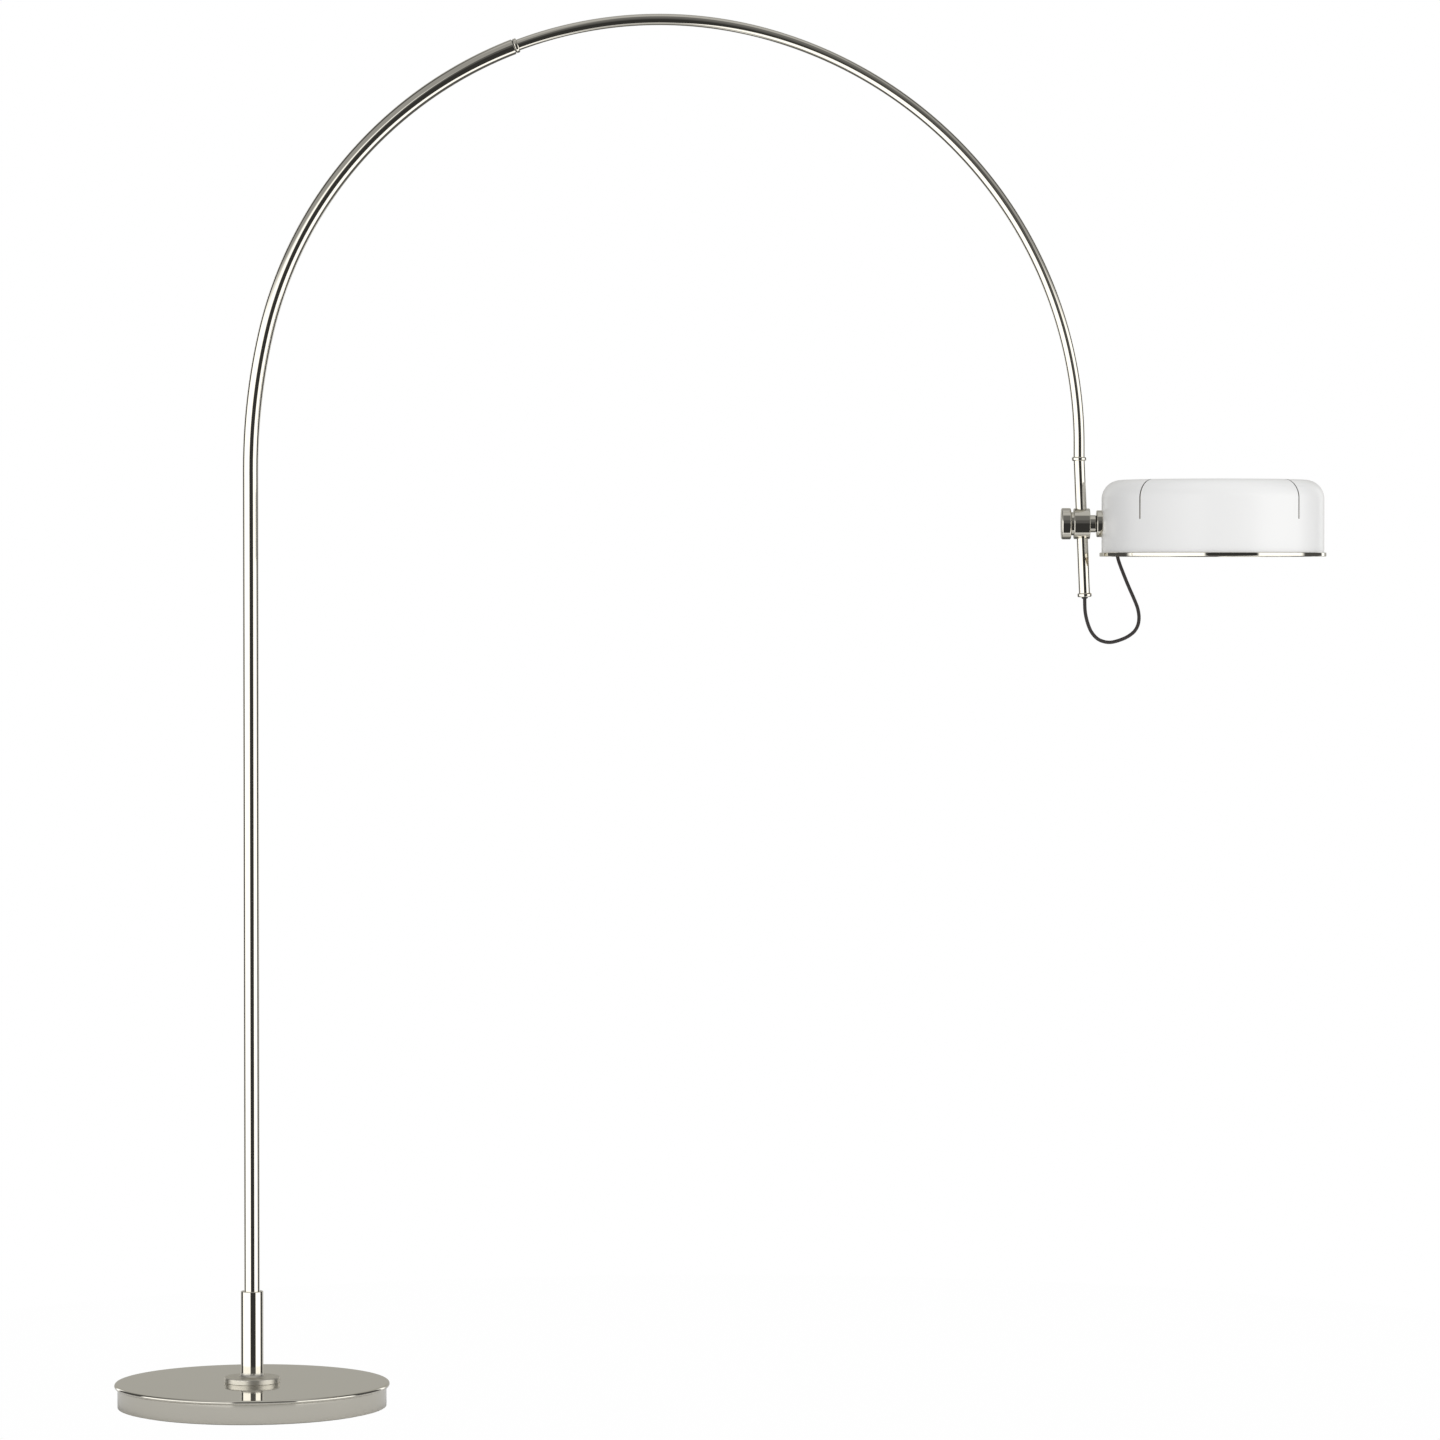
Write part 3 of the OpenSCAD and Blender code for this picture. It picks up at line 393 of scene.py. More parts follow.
def braid(name, colour):
    """Woven cord sleeve: two sets of yarns crossing along the cord's own length."""
    material, g, shader = surface(name)
    uv = g.add("ShaderNodeSeparateXYZ")
    g.join(g.add("ShaderNodeTexCoord").outputs["UV"], uv.inputs[0])
    yarns, crossings = 8, 2.6    # round the cord, and in one diameter along it
    turns = g.math("MULTIPLY", uv.outputs[0], yarns)
    length = g.math("MULTIPLY", uv.outputs[1], crossings)
    ridges = []
    for way in ("ADD", "SUBTRACT"):
        phase = g.math("MULTIPLY", g.math(way, turns, length), math.tau)
        ridges.append(g.math("SINE", phase))
    weave = g.math("MAXIMUM", ridges[0], ridges[1])
    height = g.ramp(weave, -0.4, 1.0)
    fibre = g.noise(g.place(), 4200, 2)
    # Painted shade: the colour darkens from the yarns' ridges into the hollows of the weave.
    g.join(g.mix(height, tint(colour, 0.85), tint(colour, 1.1)), shader.inputs["Base Color"])
    shader.inputs["Roughness"].default_value = 0.8
    shader.inputs["Sheen Weight"].default_value = 0.1
    shader.inputs["Sheen Roughness"].default_value = 0.5
    coarse = g.bump(height, 0.12, 0.0002)
    g.join(g.bump(fibre, 0.15, 0.00004, coarse), shader.inputs["Normal"])
    return material


def lit_glass(name):
    """Opal bulb glass, lit from inside."""
    material, g, shader = surface(name)
    where = g.place()
    frost = g.noise(where, 260, 3)
    g.join(g.mix(frost, (0.93, 0.90, 0.84, 1), (0.97, 0.95, 0.90, 1)), shader.inputs["Base Color"])
    shader.inputs["Roughness"].default_value = 0.28
    shader.inputs["Coat Weight"].default_value = 0.5
    g.join(g.mix(frost, (1.0, 0.72, 0.42, 1), (1.0, 0.77, 0.48, 1)), shader.inputs["Emission Color"])
    shader.inputs["Emission Strength"].default_value = 1.6
    g.join(g.bump(frost, 0.04, 0.0002), shader.inputs["Normal"])
    return material


def make_materials():
    nickel = (0.70, 0.672, 0.595)
    low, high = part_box("shade_shell")
    # Painted shade: the shade's inside above the tilt axis is coloured near black, so that the slits read
    # dark.
    inner_shade_paint = (((low.x + high.x) / 2, 0, low.z), drop_point(CLAMP_AT)[2], (0.05, 0.049, 0.046))
    return {
        "polished_nickel": polished_metal("polished_nickel", nickel, 0.03, 0.06),
        "satin_nickel": polished_metal("satin_nickel", nickel, 0.38, 0.44),
        "white_enamel": enamel("white_enamel", (0.80, 0.80, 0.795), 0.38, inner_shade_paint),
        "zinc_steel": brushed_metal("zinc_steel", (0.55, 0.56, 0.57), 0.32),
        "brass": brushed_metal("brass", (0.72, 0.53, 0.24), 0.27, 900),
        "cast_iron": moulded("cast_iron", (0.045, 0.046, 0.05), 0.6, 500, 0.5),
        "black_plastic": moulded("black_plastic", (0.02, 0.019, 0.018), 0.42, 900, 0.12),
        "nylon": moulded("nylon", (0.68, 0.66, 0.6), 0.45, 500, 0.08),
        "black_rubber": moulded("black_rubber", (0.015, 0.015, 0.015), 0.7, 700, 0.25),
        "foam": moulded("foam", (0.02, 0.02, 0.021), 0.85, 350, 0.8),
        "white_ceramic": enamel("white_ceramic", (0.82, 0.81, 0.78), 0.24),
        "cord_braid": braid("cord_braid", (0.030, 0.025, 0.024)),
        "opal_glass": lit_glass("opal_glass"),
    }


# ---- Outlines of turned pieces, as (radius, height) points ----
def rounded(corners, steps=8):
    """Outline through corners (r, h) or (r, h, fillet), each fillet drawn as an arc."""
    made = []
    count = len(corners)
    for i, corner in enumerate(corners):
        here = np.array(corner[:2], float)
        fillet = corner[2] if len(corner) > 2 else 0
        if fillet <= 0:
            made.append(tuple(here))
            continue
        to_last = np.array(corners[i - 1][:2], float) - here
        to_next = np.array(corners[(i + 1) % count][:2], float) - here
        a, b = to_last / np.linalg.norm(to_last), to_next / np.linalg.norm(to_next)
        half = math.acos(max(-1.0, min(1.0, float(a @ b)))) / 2
        start, end = here + a * fillet / math.tan(half), here + b * fillet / math.tan(half)
        middle = (a + b) / np.linalg.norm(a + b)
        centre = here + middle * fillet / math.sin(half)
        made += arc(centre, start, end, steps)
    return made


def arc(centre, start, end, steps):
    """Points on the shorter arc from start to end about centre."""
    a0 = math.atan2(start[1] - centre[1], start[0] - centre[0])
    a1 = math.atan2(end[1] - centre[1], end[0] - centre[0])
    sweep = (a1 - a0 + math.pi) % math.tau - math.pi
    radius = math.hypot(start[0] - centre[0], start[1] - centre[1])
    return [(centre[0] + radius * math.cos(a0 + sweep * k / steps),
             centre[1] + radius * math.sin(a0 + sweep * k / steps)) for k in range(steps + 1)]


def ring_outline(r_in, r_out, low, high, edge, inner_edge=0.2 * MM):
    return rounded([(r_in, low, inner_edge), (r_out, low, edge),
                    (r_out, high, edge), (r_in, high, inner_edge)])


def disc_outline(r, low, high, edge):
    return [(0, low)] + rounded([(0, low), (r, low, edge), (r, high, edge), (0, high)])[1:-1] + [(0, high)]


# ---- Meshes ----
GENTLE_BEND = math.radians(32)    # an outline is smooth where it bends less


def skin(rows, closed):
    """Points and faces of a surface through rows of points; a row of one point is a pole."""
    points, starts = [], []
    for row in rows:
        starts.append(len(points))
        points += row
    faces = []
    pairs = list(zip(range(len(rows)), range(1, len(rows)))) + ([(len(rows) - 1, 0)] if closed else [])
    for i, j in pairs:
        n, m = len(rows[i]), len(rows[j])
        for k in range(max(n, m)):
            nxt = (k + 1) % max(n, m)
            a = [starts[i] + (k if n > 1 else 0), starts[i] + (nxt if n > 1 else 0)]
            b = [starts[j] + (nxt if m > 1 else 0), starts[j] + (k if m > 1 else 0)]
            face = list(dict.fromkeys(a + b))
            if len(face) > 2:
                faces.append(face)
    return points, faces


def new_mesh(name, points, faces):
    mesh = bpy.data.meshes.new(name)
    mesh.from_pydata([tuple(p) for p in points], [], faces)
    mesh.validate()
    obj = bpy.data.objects.new(name, mesh)
    bpy.context.scene.collection.objects.link(obj)
    return obj


def face_outwards(obj):
    """Turns the faces of a closed mesh outwards."""
    mesh = obj.data
    mesh.calc_loop_triangles()
    volume = sum(mesh.vertices[t.vertices[0]].co.dot(
        mesh.vertices[t.vertices[1]].co.cross(mesh.vertices[t.vertices[2]].co)) for t in mesh.loop_triangles)
    if volume < 0:
        mesh.flip_normals()


def finish_piece(obj, body, slot, *nodes, finish=None):
    """Gives a piece its body and its slot's finish or a variant, and hides the CAD nodes that it stands for.
    """
    obj.data.materials.clear()
    obj.data.materials.append(MATERIALS[finish or slot])
    if body:
        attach(obj, body)
    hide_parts(*nodes)
    return obj


def cut(obj, cutters):
    """Takes the cutters out of obj and removes them."""
    for cutter in cutters:
        modifier = obj.modifiers.new("cut", "BOOLEAN")
        modifier.operation = "DIFFERENCE"
        modifier.solver = "EXACT"
        modifier.object = cutter
    graph = bpy.context.evaluated_depsgraph_get()
    made = bpy.data.meshes.new_from_object(obj.evaluated_get(graph))
    obj.modifiers.clear()
    old, obj.data = obj.data, made
    bpy.data.meshes.remove(old)
    made.name = obj.name
    for cutter in cutters:
        bpy.data.objects.remove(cutter)


def outline_normals(outline, closed):
    """Ends and outward normals of each stretch of an outline, smooth where it bends gently."""
    pts = np.array(outline)
    ends = np.roll(pts, -1, 0) if closed else pts[1:]
    starts = pts if closed else pts[:-1]
    along = ends - starts
    length = np.linalg.norm(along, axis=1)
    along = along / np.maximum(length, 1e-12)[:, None]
    side = np.stack([along[:, 1], -along[:, 0]], 1)
    n = len(starts)
    first, last = side.copy(), side.copy()
    for i in range(n):
        j = (i + 1) % n
        if (closed or j) and side[i] @ side[j] > math.cos(GENTLE_BEND):
            both = side[i] * length[i] + side[j] * length[j]
            both = both / np.linalg.norm(both)
            last[i] = both
            first[j] = both
    return starts, ends, side, first, last


def turned_normals(mesh, outline, closed, to_local):
    """Exact normals of a turned surface for every face corner that lies on it."""
    on_it, alike = 0.08 * MM, 0.9    # how near a corner lies, and how well its face agrees
    starts, ends, side, first, last = outline_normals(outline, closed)
    sign = signed_area(outline, closed)
    count = len(mesh.loops)
    co = np.zeros(len(mesh.vertices) * 3)
    mesh.vertices.foreach_get("co", co)
    co = co.reshape(-1, 3) @ np.array(to_local.to_3x3()).T + np.array(to_local.translation)
    index = np.zeros(count, int)
    mesh.loops.foreach_get("vertex_index", index)
    faces = np.repeat(np.arange(len(mesh.polygons)), [p.loop_total for p in mesh.polygons])
    normal = np.array([p.normal for p in mesh.polygons]) @ np.array(to_local.to_3x3()).T
    p, flat = co[index], normal[faces]
    r = np.hypot(p[:, 0], p[:, 1])
    out = np.where(r[:, None] > 1e-7, p[:, :2] / np.maximum(r, 1e-7)[:, None], flat[:, :2])
    best = np.full(count, 1e9)
    made = flat.copy()
    middle = np.array([np.mean([mesh.vertices[v].co[:] for v in q.vertices], 0) for q in mesh.polygons])
    middle = (middle @ np.array(to_local.to_3x3()).T + np.array(to_local.translation))[faces]
    spoke = middle[:, :2] / np.maximum(np.hypot(middle[:, 0], middle[:, 1]), 1e-7)[:, None]
    flat_rh = np.stack([(flat[:, :2] * spoke).sum(1), flat[:, 2]], 1)
    rh = np.stack([r, p[:, 2]], 1)
    for i in range(len(starts)):
        line = ends[i] - starts[i]
        span = line @ line
        if span < 1e-16:
            continue
        t = np.clip(((rh - starts[i]) @ line) / span, 0, 1)
        gap = np.linalg.norm(rh - starts[i] - t[:, None] * line, axis=1)
        fits = (gap < on_it) & (flat_rh @ (side[i] * sign) > alike) & (gap < best - 1e-7)
        way = (first[i] * (1 - t[:, None]) + last[i] * t[:, None]) * sign
        smooth = np.concatenate([out * way[:, :1], way[:, 1:]], 1)
        made[fits] = smooth[fits]
        best[fits] = gap[fits]
    made = made @ np.linalg.inv(np.array(to_local.to_3x3())).T
    made = made / np.maximum(np.linalg.norm(made, axis=1), 1e-9)[:, None]
    mesh.normals_split_custom_set([tuple(v) for v in made])


def signed_area(outline, closed):
    """1 where the outline runs anticlockwise in (r, h), so that its right side is outside, else -1."""
    pts = list(outline) if closed else list(outline) + [(0, outline[-1][1]), (0, outline[0][1])]
    area = sum(a[0] * b[1] - b[0] * a[1] for a, b in zip(pts, pts[1:] + pts[:1]))
    return 1 if area > 0 else -1


def lathe_points(outline, steps):
    """Rows of points round the z axis, one row for each point of the outline."""
    return [[(r * math.cos(k * math.tau / steps), r * math.sin(k * math.tau / steps), h)
             for k in range(steps)] if r > 1e-6 else [(0, 0, h)] for r, h in outline]


def turned(name, outline, steps=128, at=(0, 0, 0), turn=None, cutters=()):
    """A turned piece: the outline goes round its own axis, which is then turned and moved into place."""
    closed = outline[0][0] > 1e-6
    points, faces = skin(lathe_points(outline, steps), closed)
    obj = new_mesh(name, points, faces)
    place = Matrix.Translation(Vector(at)) @ (turn or Matrix.Identity(4))
    obj.data.transform(place)
    face_outwards(obj)
    if cutters:
        cut(obj, cutters)
    for polygon in obj.data.polygons:
        polygon.use_smooth = True
    turned_normals(obj.data, outline, closed, place.inverted())
    return obj


def rod(r, low, high, at=(0, 0, 0), turn=None, steps=64):
    """A plain rod, used to cut bores."""
    points, faces = skin(lathe_points([(0, low), (r, low), (r, high), (0, high)], steps), False)
    obj = new_mesh("cutter", points, faces)
    obj.data.transform(Matrix.Translation(Vector(at)) @ (turn or Matrix.Identity(4)))
    face_outwards(obj)
    return obj


def slab(low, high, turn=None, at=(0, 0, 0)):
    """A plain block, used to cut slits."""
    corners = [(x, y, z) for x in (low[0], high[0]) for y in (low[1], high[1]) for z in (low[2], high[2])]
    faces = [(0, 1, 3, 2), (4, 6, 7, 5), (0, 4, 5, 1), (2, 3, 7, 6), (0, 2, 6, 4), (1, 5, 7, 3)]
    obj = new_mesh("cutter", corners, faces)
    obj.data.transform(Matrix.Translation(Vector(at)) @ (turn or Matrix.Identity(4)))
    face_outwards(obj)
    return obj


# ---- Routes in the lamp's own plane: (x, z, heading) stations ----
def on_circle(centre, radius, degrees):
    """Point (x, z) on a circle, with 0 degrees along +x."""
    a = math.radians(degrees)
    return (centre[0] + radius * math.cos(a), centre[1] + radius * math.sin(a))


LEAD_C = (LEAD_R, BEND_Z)
CROWN_FROM = 180 - LEAD_DEG
CROWN_C = on_circle(LEAD_C, LEAD_R - CROWN_R, CROWN_FROM)
FALL_C = on_circle(CROWN_C, CROWN_R - FALL_R, FALL_DEG)
DROP_X = FALL_C[0] + FALL_R
KINK_Z = FALL_C[1] - FALL_STRAIGHT
ALONG_X = Matrix.Rotation(math.radians(90), 4, "Y")
TO_REAR = Matrix.Rotation(math.radians(-90), 4, "X")
DOWN_DROP = Matrix.Rotation(math.pi - DROP_LEAN, 4, "Y")


def crown_deg(length):
    """Degrees that a length takes along the crown."""
    return math.degrees(length / CROWN_R)


def drop_point(s):
    """Point on the drop tube's axis, s down from the stop ring."""
    return (DROP_X + s * math.sin(DROP_LEAN), 0, KINK_Z - s * math.cos(DROP_LEAN))


def bend(centre, radius, start, end, step=1.0):
    """Stations on an arc that runs clockwise from start to end, in degrees."""
    count = max(2, math.ceil(abs(start - end) / step))
    made = []
    for i in range(count + 1):
        a = start + (end - start) * i / count
        x, z = on_circle(centre, radius, a)
        made.append((x, z, math.radians(a - 90)))
    return made


def tube(name, stations, r_out, r_in, sides=72, edge=0.25 * MM):
    """A hollow tube swept along stations, with slightly broken edges at its ends."""
    def ring(station, r, back=0.0):
        x, z, way = station
        x, z = x + back * math.cos(way), z + back * math.sin(way)
        side = (-math.sin(way), math.cos(way))
        return [(x + side[0] * r * math.cos(a), r * math.sin(a), z + side[1] * r * math.cos(a))
                for a in (k * math.tau / sides for k in range(sides))]
    first, last = stations[0], stations[-1]
    rows = [ring(first, r_out - edge), ring(first, r_out, edge)]
    rows += [ring(s, r_out) for s in stations[1:-1]]
    rows += [ring(last, r_out, -edge), ring(last, r_out - edge), ring(last, r_in)]
    rows += [ring(s, r_in) for s in reversed(stations[1:-1])]
    rows += [ring(first, r_in)]
    points, faces = skin(rows, True)
    obj = new_mesh(name, points, faces)
    face_outwards(obj)
    for polygon in obj.data.polygons:
        polygon.use_smooth = True
    obj.data.set_sharp_from_angle(angle=math.radians(30))
    return obj


# ---- Cord ----
def catmull(a, b, c, d, t):
    """Point at t on the smooth curve from b to c, which also follows a and d."""
    return tuple(0.5 * (2 * q + (r - p) * t + (2 * p - 5 * q + 4 * r - s) * t * t
                        + (3 * q - p - 3 * r + s) * t ** 3)
                 for p, q, r, s in zip(a, b, c, d))


def cord_path(steps):
    hub_low, hub_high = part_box("cord_hub")
    end = ((hub_low.x + hub_high.x) / 2, hub_low.z - SLIP_GAP)
    pts = [(CORD_EXIT[0], CORD_EXIT[2])] + CORD_ROUTE + [end]
    last = len(pts) - 1
    made = []
    for i in range(last):
        for k in range(steps):
            made.append(catmull(pts[max(i - 1, 0)], pts[i], pts[i + 1], pts[min(i + 2, last)], k / steps))
    return [(x, 0.0, z) for x, z in made + [end]]


def make_cord():
    path = cord_path(8)
    sides = 24
    count = len(path)
    way = [Vector(path[min(i + 1, count - 1)]) - Vector(path[max(i - 1, 0)]) for i in range(count)]
    way[0] = Vector((math.sin(DROP_LEAN), 0, -math.cos(DROP_LEAN)))
    way[-1] = Vector((0, 0, 1))
    rows, travelled, lengths = [], 0.0, []
    for i, (p, d) in enumerate(zip(path, way)):
        d = d.normalized()
        side = Vector((-d.z, 0, d.x))
        if i:
            travelled += (Vector(p) - Vector(path[i - 1])).length
        lengths.append(travelled)
        rows.append([tuple(Vector(p) + (side * math.cos(a) + Vector((0, 1, 0)) * math.sin(a)) * CORD_D / 2)
                     for a in (k * math.tau / sides for k in range(sides))])
    points, faces = skin([[path[0]]] + rows + [[path[-1]]], False)
    cord = new_mesh("shade_cord", points, faces)
    face_outwards(cord)
    layer = cord.data.uv_layers.new(name="cord_uv")
    for polygon in cord.data.polygons:
        polygon.use_smooth = True
        spots = [(v - 1) % sides if 0 < v <= sides * count else 0 for v in polygon.vertices]
        wraps = max(spots) - min(spots) > sides / 2
        for loop, v, spot in zip(polygon.loop_indices, polygon.vertices, spots):
            row = min(max((v - 1) // sides, 0), count - 1)
            u = (spot + (sides if wraps and spot < sides / 2 else 0)) / sides
            layer.data[loop].uv = (u, lengths[row] / CORD_D)
    cord.data.set_sharp_from_angle(angle=math.radians(50))
    finish_piece(cord, None, "cord_braid", "head_cord")
    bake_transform(cord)


# ---- Base and foot ----
def make_base():
    low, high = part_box("base_cover")
    top, base_r = high.z, high.x
    skirt_low, skirt_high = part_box("base_skirt")
    skirt_r = skirt_high.x
    hole = STUD_R + SLIP_GAP
    lip_r, lip_c, lip_z = LIP_H / 2, base_r - LIP_H / 2, top - LIP_H / 2
    outer = arc((lip_c, lip_z), (lip_c + 1e-6, lip_z - lip_r), (lip_c + lip_r, lip_z), 12)
    outer += arc((lip_c, lip_z), (lip_c + lip_r, lip_z), (lip_c + 1e-6, lip_z + lip_r), 12)[1:]
    inner_r = lip_r - SHEET
    inner = arc((lip_c, lip_z), (lip_c + 1e-6, lip_z + inner_r), (lip_c + inner_r, lip_z), 8)
    inner += arc((lip_c, lip_z), (lip_c + inner_r, lip_z), (lip_c + 1e-6, lip_z - inner_r), 8)[1:]
    mouth = skirt_r + SLIP_GAP
    outline = [(mouth, low.z)] + outer + [(hole, top), (hole, top - SHEET)] + inner + [(mouth, low.z + SHEET)]
    finish_piece(turned("base_top", outline, 288), "stand", "polished_nickel", "base_cover")

    flange_r = skirt_r - SHEET - SKIRT_FLANGE
    outline = rounded([(skirt_r - SHEET, skirt_low.z), (skirt_r, skirt_low.z, 0.3 * MM),
                       (skirt_r, skirt_high.z, 0.8 * MM), (flange_r, skirt_high.z),
                       (flange_r, skirt_high.z - SHEET), (skirt_r - SHEET, skirt_high.z - SHEET, 0.6 * MM)])
    grommet_low, grommet_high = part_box("mains_grommet")
    grommet_z = (grommet_low.z + grommet_high.z) / 2
    bore = rod(GROMMET_HOLE_R, 0.15, 0.25, (0, 0, grommet_z), TO_REAR)
    finish_piece(turned("base_side", outline, 288, cutters=[bore]), "stand", "polished_nickel", "base_skirt")

    low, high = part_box("foot_pad")
    outline = disc_outline(high.x, low.z, high.z, 0.6 * MM)
    finish_piece(turned("base_pad", outline, 192), "stand", "foam", "foot_pad")


def make_foot():
    low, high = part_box("foot_flange")
    sleeve_low, sleeve_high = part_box("column_sleeve")
    flange_r, sleeve_r = high.x, sleeve_high.x
    flange_top = sleeve_low.z
    seat_r = sleeve_r + 0.02 * MM
    cove = arc((sleeve_r + COVE_R, flange_top + COVE_R), (sleeve_r + COVE_R, flange_top),
               (seat_r, flange_top + COVE_R), 14)
    rim = rounded([(STUD_R, low.z), (flange_r, low.z, 0.5 * MM), (flange_r, flange_top, 1.5 * MM),
                   (sleeve_r, flange_top)])[:-1]
    outline = rim + cove + [(seat_r, flange_top), (STUD_R, flange_top)]
    finish_piece(turned("column_flange", outline, 192), "stand", "polished_nickel", "foot_flange",
                 finish="satin_nickel")

    step_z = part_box("lower_tube")[0].z
    bore_r = LOWER_R + PRESS_GAP
    outline = rounded([(STUD_R, flange_top), (sleeve_r, flange_top), (sleeve_r, sleeve_high.z, 1 * MM),
                       (bore_r, sleeve_high.z, 0.3 * MM), (bore_r, step_z), (STUD_R, step_z)])
    screw_low, screw_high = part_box("sleeve_set_screw")
    screw_z = (screw_low.z + screw_high.z) / 2
    screw_r = (screw_high.x - screw_low.x) / 2 + PRESS_GAP
    bore = rod(screw_r, LOWER_R - 1 * MM, 0.05, (0, 0, screw_z), TO_REAR)
    finish_piece(turned("foot_sleeve", outline, 160, cutters=[bore]), "stand", "polished_nickel",
                 "column_sleeve")


# ---- Tubes and rings ----
def make_tubes():
    foot_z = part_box("lower_tube")[0].z
    up = math.radians(90)
    column = [(0.0, foot_z + (BEND_Z - foot_z) * i / 12, up) for i in range(12)]
    stations = column + bend(LEAD_C, LEAD_R, 180, CROWN_FROM)[:-1]
    stations += bend(CROWN_C, CROWN_R, CROWN_FROM, JOINT_DEG + crown_deg(GROOVE))
    obj = tube("column_tube", stations, LOWER_R, LOWER_R - TUBE_WALL, 96)
    finish_piece(obj, "stand", "polished_nickel", "lower_tube")

    inside = JOINT_DEG + crown_deg(JOINT_REACH)
    end_gap = UPPER_R * math.tan(DROP_LEAN / 2) + 0.2 * MM
    stations = bend(CROWN_C, CROWN_R, inside, FALL_DEG)[:-1] + bend(FALL_C, FALL_R, FALL_DEG, 0)
    stations += [(DROP_X, KINK_Z + end_gap, math.radians(-90))]
    finish_piece(tube("arc_tube", stations, UPPER_R, UPPER_R - TUBE_WALL, 80), "stand", "polished_nickel",
                 "upper_tube")

    top, end = drop_point(end_gap), drop_point(DROP_LEN - 1.5 * MM)
    way = -math.pi / 2 + DROP_LEAN
    stations = [(top[0] + (end[0] - top[0]) * i / 4, top[2] + (end[2] - top[2]) * i / 4, way)
                for i in range(5)]
    finish_piece(tube("hanging_tube", stations, UPPER_R, UPPER_R - TUBE_WALL, 80), "stand", "polished_nickel",
                 "drop_tube")


def make_rings():
    half = RING_W / 2
    angle = JOINT_DEG - crown_deg(half)
    x, z = on_circle(CROWN_C, CROWN_R, angle)
    turn = Matrix.Rotation(math.radians(180 - angle), 4, "Y")
    outline = ring_outline(UPPER_R + 0.03 * MM, JOINT_RING_R, -half, half, 1.5 * MM)
    finish_piece(turned("arc_ring", outline, 128, (x, 0, z), turn), "stand", "polished_nickel", "joint_ring")
    outline = ring_outline(UPPER_R + 0.1 * MM, STOP_RING_R, -half, half, 1.8 * MM)
    finish_piece(turned("drop_ring", outline, 128, (DROP_X, 0, KINK_Z)), "stand", "polished_nickel",
                 "stop_ring")
    floor = half - 1.5 * MM
    outline = rounded([(COLLAR_BORE_R, floor), (UPPER_R, floor), (UPPER_R, -half),
                       (STOP_RING_R, -half, 1.8 * MM), (STOP_RING_R, half, 1.8 * MM),
                       (COLLAR_BORE_R, half, 0.3 * MM)])
    finish_piece(turned("drop_collar", outline, 128, drop_point(DROP_LEN - half), DOWN_DROP), "stand",
                 "polished_nickel", "end_collar")


# ---- Clamp, knob and pivot ----
def make_clamp():
    pivot_z = drop_point(CLAMP_AT)[2]
    low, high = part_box("clamp_body")
    centre = drop_point(CLAMP_AT)
    right, left = high.x, 2 * centre[0] - high.x
    clamp_r, boss_r = high.y, 16.5 * MM
    outline = rounded([(0, low.x), (boss_r, low.x, 0.5 * MM), (boss_r, left), (clamp_r, left, 1.2 * MM),
                       (clamp_r, right, 1.2 * MM), (0, right)])
    liner_r = UPPER_R + RUNNING_GAP + LINER_WALL
    cutters = [rod(UPPER_R + RUNNING_GAP + 0.2 * MM, -0.04, 0.04, centre, DOWN_DROP),
               rod(liner_r, -LINER_HALF, LINER_HALF, centre, DOWN_DROP, 72)]
    obj = turned("clamp_barrel", outline, 160, (0, 0, pivot_z), ALONG_X, cutters)
    finish_piece(obj, "clamp", "polished_nickel", "clamp_body")

    low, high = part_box("pivot_boss")
    outline = ring_outline(SPINDLE_R, high.y, low.x, high.x, 0.5 * MM)
    finish_piece(turned("pivot_neck", outline, 128, (0, 0, pivot_z), ALONG_X), "clamp", "polished_nickel",
                 "pivot_boss")

    low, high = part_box("clamp_knob")
    outline = disc_outline(high.y, low.x, high.x, 2 * MM)
    finish_piece(turned("slide_knob", outline, 160, (0, 0, pivot_z), ALONG_X), "knob", "polished_nickel",
                 "clamp_knob")

    low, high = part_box("friction_washer")
    outline = ring_outline(SPINDLE_R + RUNNING_GAP, high.y, low.x, high.x, 0.2 * MM)
    finish_piece(turned("fibre_washer", outline, 96, (0, 0, pivot_z), ALONG_X), "shade", "black_plastic",
                 "friction_washer")

    low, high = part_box("pivot_disc")
    outline = ring_outline(SPINDLE_R + RUNNING_GAP, high.y, low.x, high.x + 0.1 * MM, 1.2 * MM)
    finish_piece(turned("shade_disc", outline, 128, (0, 0, pivot_z), ALONG_X), "shade", "polished_nickel",
                 "pivot_disc")

    plug_r, plug_h, neck_r, tip_r, gland_h = 6.44 * MM, 5 * MM, 4.4 * MM, 3.3 * MM, 9.3 * MM
    outline = [(0, 0)] + rounded([(0, 0), (plug_r, 0), (plug_r, plug_h), (neck_r, plug_h),
                                  (neck_r, 8.3 * MM, 0.5 * MM), (tip_r, gland_h), (0, gland_h)])[1:]
    start = DROP_LEN + 2.5 * MM - gland_h
    finish_piece(turned("cord_bush", outline, 96, drop_point(start), DOWN_DROP), "swivel", "black_plastic",
                 "cord_gland")


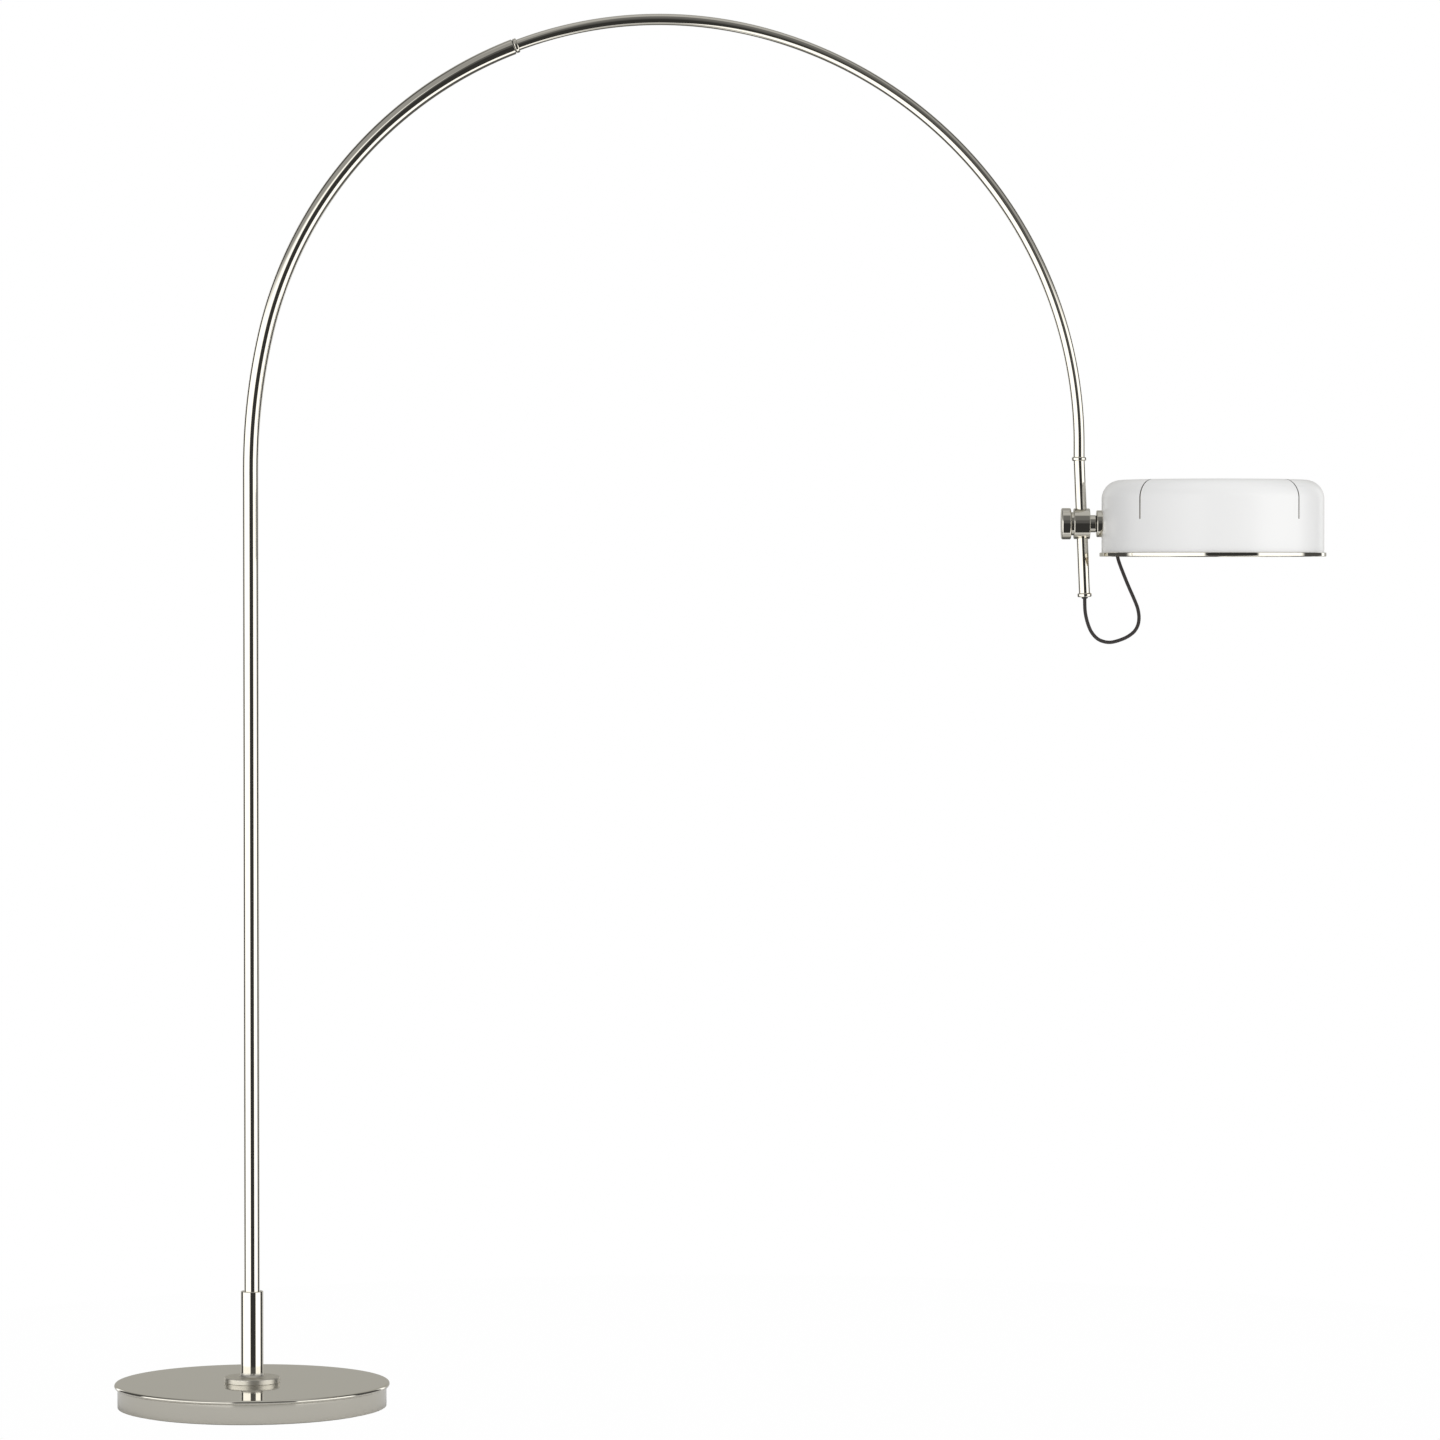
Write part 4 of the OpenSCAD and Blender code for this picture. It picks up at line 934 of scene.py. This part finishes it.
# ---- Shade ----
def make_shade():
    low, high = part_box("shade_shell")
    centre = ((low.x + high.x) / 2, 0)
    shade_r, bottom, top = (high.x - low.x) / 2, low.z, high.z
    pivot_z = drop_point(CLAMP_AT)[2]
    inner_r = shade_r - SHADE_WALL
    outer = rounded([(shade_r, bottom), (shade_r, top, SHOULDER_R), (0, top)], 20)
    inner = rounded([(inner_r, bottom), (inner_r, top - SHADE_WALL, SHOULDER_R - SHADE_WALL),
                     (0, top - SHADE_WALL)], 20)
    outline = [(0, top)] + list(reversed(outer))[1:] + inner[:-1] + [(0, top - SHADE_WALL)]
    cutters = []
    for quarter in range(4):
        turn = Matrix.Rotation(math.radians(45 + 90 * quarter), 4, "Z")
        cutters.append(slab((SLIT_FROM_R, -SLIT_W / 2, pivot_z + SLIT_ABOVE_AXIS),
                            (shade_r + 0.02, SLIT_W / 2, top + 0.02), turn, (centre[0], 0, 0)))
    cutters.append(rod(SPINDLE_R + RUNNING_GAP, low.x - 0.01, low.x + 0.01, (0, 0, pivot_z), ALONG_X))
    obj = turned("shade_drum", outline, 288, (centre[0], 0, 0), None, cutters)
    finish_piece(obj, "shade", "white_enamel", "shade_shell")

    low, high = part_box("shade_rim")
    rim_r = (high.x - low.x) / 2
    rim_in = rim_r - RIM_DEPTH
    edge = 0.8 * MM
    outline = rounded([(rim_in, low.z, 0.5 * MM), (rim_r, low.z, edge), (rim_r, bottom, edge),
                       (inner_r, bottom), (inner_r, high.z, 0.3 * MM), (rim_in, high.z, 0.3 * MM)])
    finish_piece(turned("shade_ring", outline, 288, (centre[0], 0, 0)), "shade", "polished_nickel",
                 "shade_rim")


# ---- Lamp inside the shade ----
def make_hub():
    axis = drop_point(CLAMP_AT)[2]
    low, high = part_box("cord_hub")
    hub_r, middle = high.y, (low.x + high.x) / 2
    outline = [(0, low.x)] + rounded([(0, low.x), (hub_r, low.x, 1.5 * MM), (hub_r, high.x, 1.5 * MM),
                                      (0, high.x)])[1:]
    finish_piece(turned("hub_barrel", outline, 96, (0, 0, axis), ALONG_X), "clamp", "black_plastic",
                 "cord_hub")
    neck_r, neck_top = 4.5 * MM, axis - 4 * MM
    outline = disc_outline(neck_r, low.z, neck_top, 0.6 * MM)
    finish_piece(turned("hub_neck", outline, 64, (middle, 0, 0)), "clamp", "black_plastic", "cord_hub")

    low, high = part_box("lead_conduit")
    outline = ring_outline(high.y - LEAD_TUBE_WALL, high.y, low.x, high.x, 0.3 * MM)
    finish_piece(turned("lead_tube", outline, 64, (0, 0, axis), ALONG_X), "shade", "zinc_steel",
                 "lead_conduit")


def make_junction_box():
    low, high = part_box("junction_box")
    x = (low.x + high.x) / 2
    box_r, floor, top = high.y, low.z, high.z
    inner_r = box_r - BOX_WALL
    outline = rounded([(inner_r, floor, 0.3 * MM), (box_r, floor, 0.3 * MM), (box_r, top, 3 * MM),
                       (0, top), (0, top - BOX_WALL), (inner_r, top - BOX_WALL, 1 * MM)])
    first = outline.index((0.0, top))
    outline = outline[first + 1:] + outline[:first + 1]
    bore = rod(4.1 * MM, x - 2 * box_r, x, (0, 0, drop_point(CLAMP_AT)[2]), ALONG_X)
    finish_piece(turned("lamp_box", outline, 128, (x, 0, 0), None, [bore]), "shade", "white_ceramic",
                 "junction_box")
    low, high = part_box("junction_cover")
    outline = disc_outline(high.y, low.z, floor, 0.8 * MM)
    finish_piece(turned("lamp_box_cover", outline, 128, (x, 0, 0)), "shade", "white_ceramic",
                 "junction_cover")
    low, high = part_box("lamp_stem")
    stem_r, step_z = 6 * MM, high.z - 3 * MM
    outline = [(0, low.z)] + rounded([(0, low.z), (stem_r, low.z), (stem_r, step_z, 1.2 * MM),
                                      (high.y, step_z, 0.8 * MM), (high.y, high.z), (0, high.z)])[1:]
    finish_piece(turned("box_stem", outline, 96, (x, 0, 0)), "shade", "zinc_steel", "lamp_stem")
    return x, box_r


def make_bulbs(x, box_r):
    axis = drop_point(CLAMP_AT)[2]
    holder_high, glass_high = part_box("lampholders")[1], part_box("bulb_glass")[1]
    end, bore_r, floor = holder_high.y, 13.5 * MM, holder_high.y - 26 * MM
    holder_r, ball_r, neck_r = holder_high.z - axis, glass_high.z - axis, 13 * MM
    reach = glass_high.y - ball_r
    lean = math.asin((ball_r - neck_r) / (reach - end))
    start, base_r, shoulder = 12 * MM, holder_r - 3 * MM, box_r + 8 * MM
    groove_r = holder_r - 1 * MM
    edge, groove_start, groove_end, lip = (end - depth * MM for depth in (14, 13, 10, 9))
    holder = rounded([(0, start), (base_r, start), (base_r, shoulder, 1 * MM),
                      (holder_r, shoulder, 2 * MM), (holder_r, edge, 0.8 * MM),
                      (groove_r, groove_start, 0.6 * MM), (groove_r, groove_end, 0.6 * MM),
                      (holder_r, lip, 0.8 * MM), (holder_r, end, 1.5 * MM),
                      (bore_r, end, 0.8 * MM), (bore_r, floor), (0, floor)])
    ball = arc((0, reach), (ball_r * math.cos(lean), reach - ball_r * math.sin(lean)), (ball_r, reach), 10)
    ball += arc((0, reach), (ball_r, reach), (1e-9, reach + ball_r), 28)[1:-1]
    glass = [(0, end), (neck_r, end)] + ball + [(0, reach + ball_r)]
    for side, turn in (("front", 90), ("back", -90)):
        way = Matrix.Rotation(math.radians(turn), 4, "X")
        core = rod(box_r, axis - 0.04, axis + 0.04, (x, 0, 0), None, 128)
        finish_piece(turned("lampholder_" + side, holder, 96, (x, 0, axis), way, [core]), "shade",
                     "white_ceramic", "lampholders")
        finish_piece(turned("bulb_" + side, glass, 96, (x, 0, axis), way), "shade", "opal_glass",
                     "bulb_glass")


def finish_cad_nodes():
    """Gives every CAD node that still shows its own procedural material."""
    slots = {}
    for entry in frame["record"]["materials"]:
        for node in entry.get("nodes", []):
            slots[node] = entry["slot"]
    for name, obj in frame["nodes"].items():
        for i, material in enumerate(obj.data.materials):
            slot = slots.get(name) or material.name.split(".")[0]
            obj.data.materials[i] = MATERIALS[slot]


bpy.context.scene.view_settings.view_transform = "Standard"
make_camera()
MATERIALS = make_materials()
make_cord()
make_world()
make_lights()
make_floor()
finish_cad_nodes()
make_base()
make_foot()
make_tubes()
make_rings()
make_clamp()
make_shade()
make_hub()
make_bulbs(*make_junction_box())
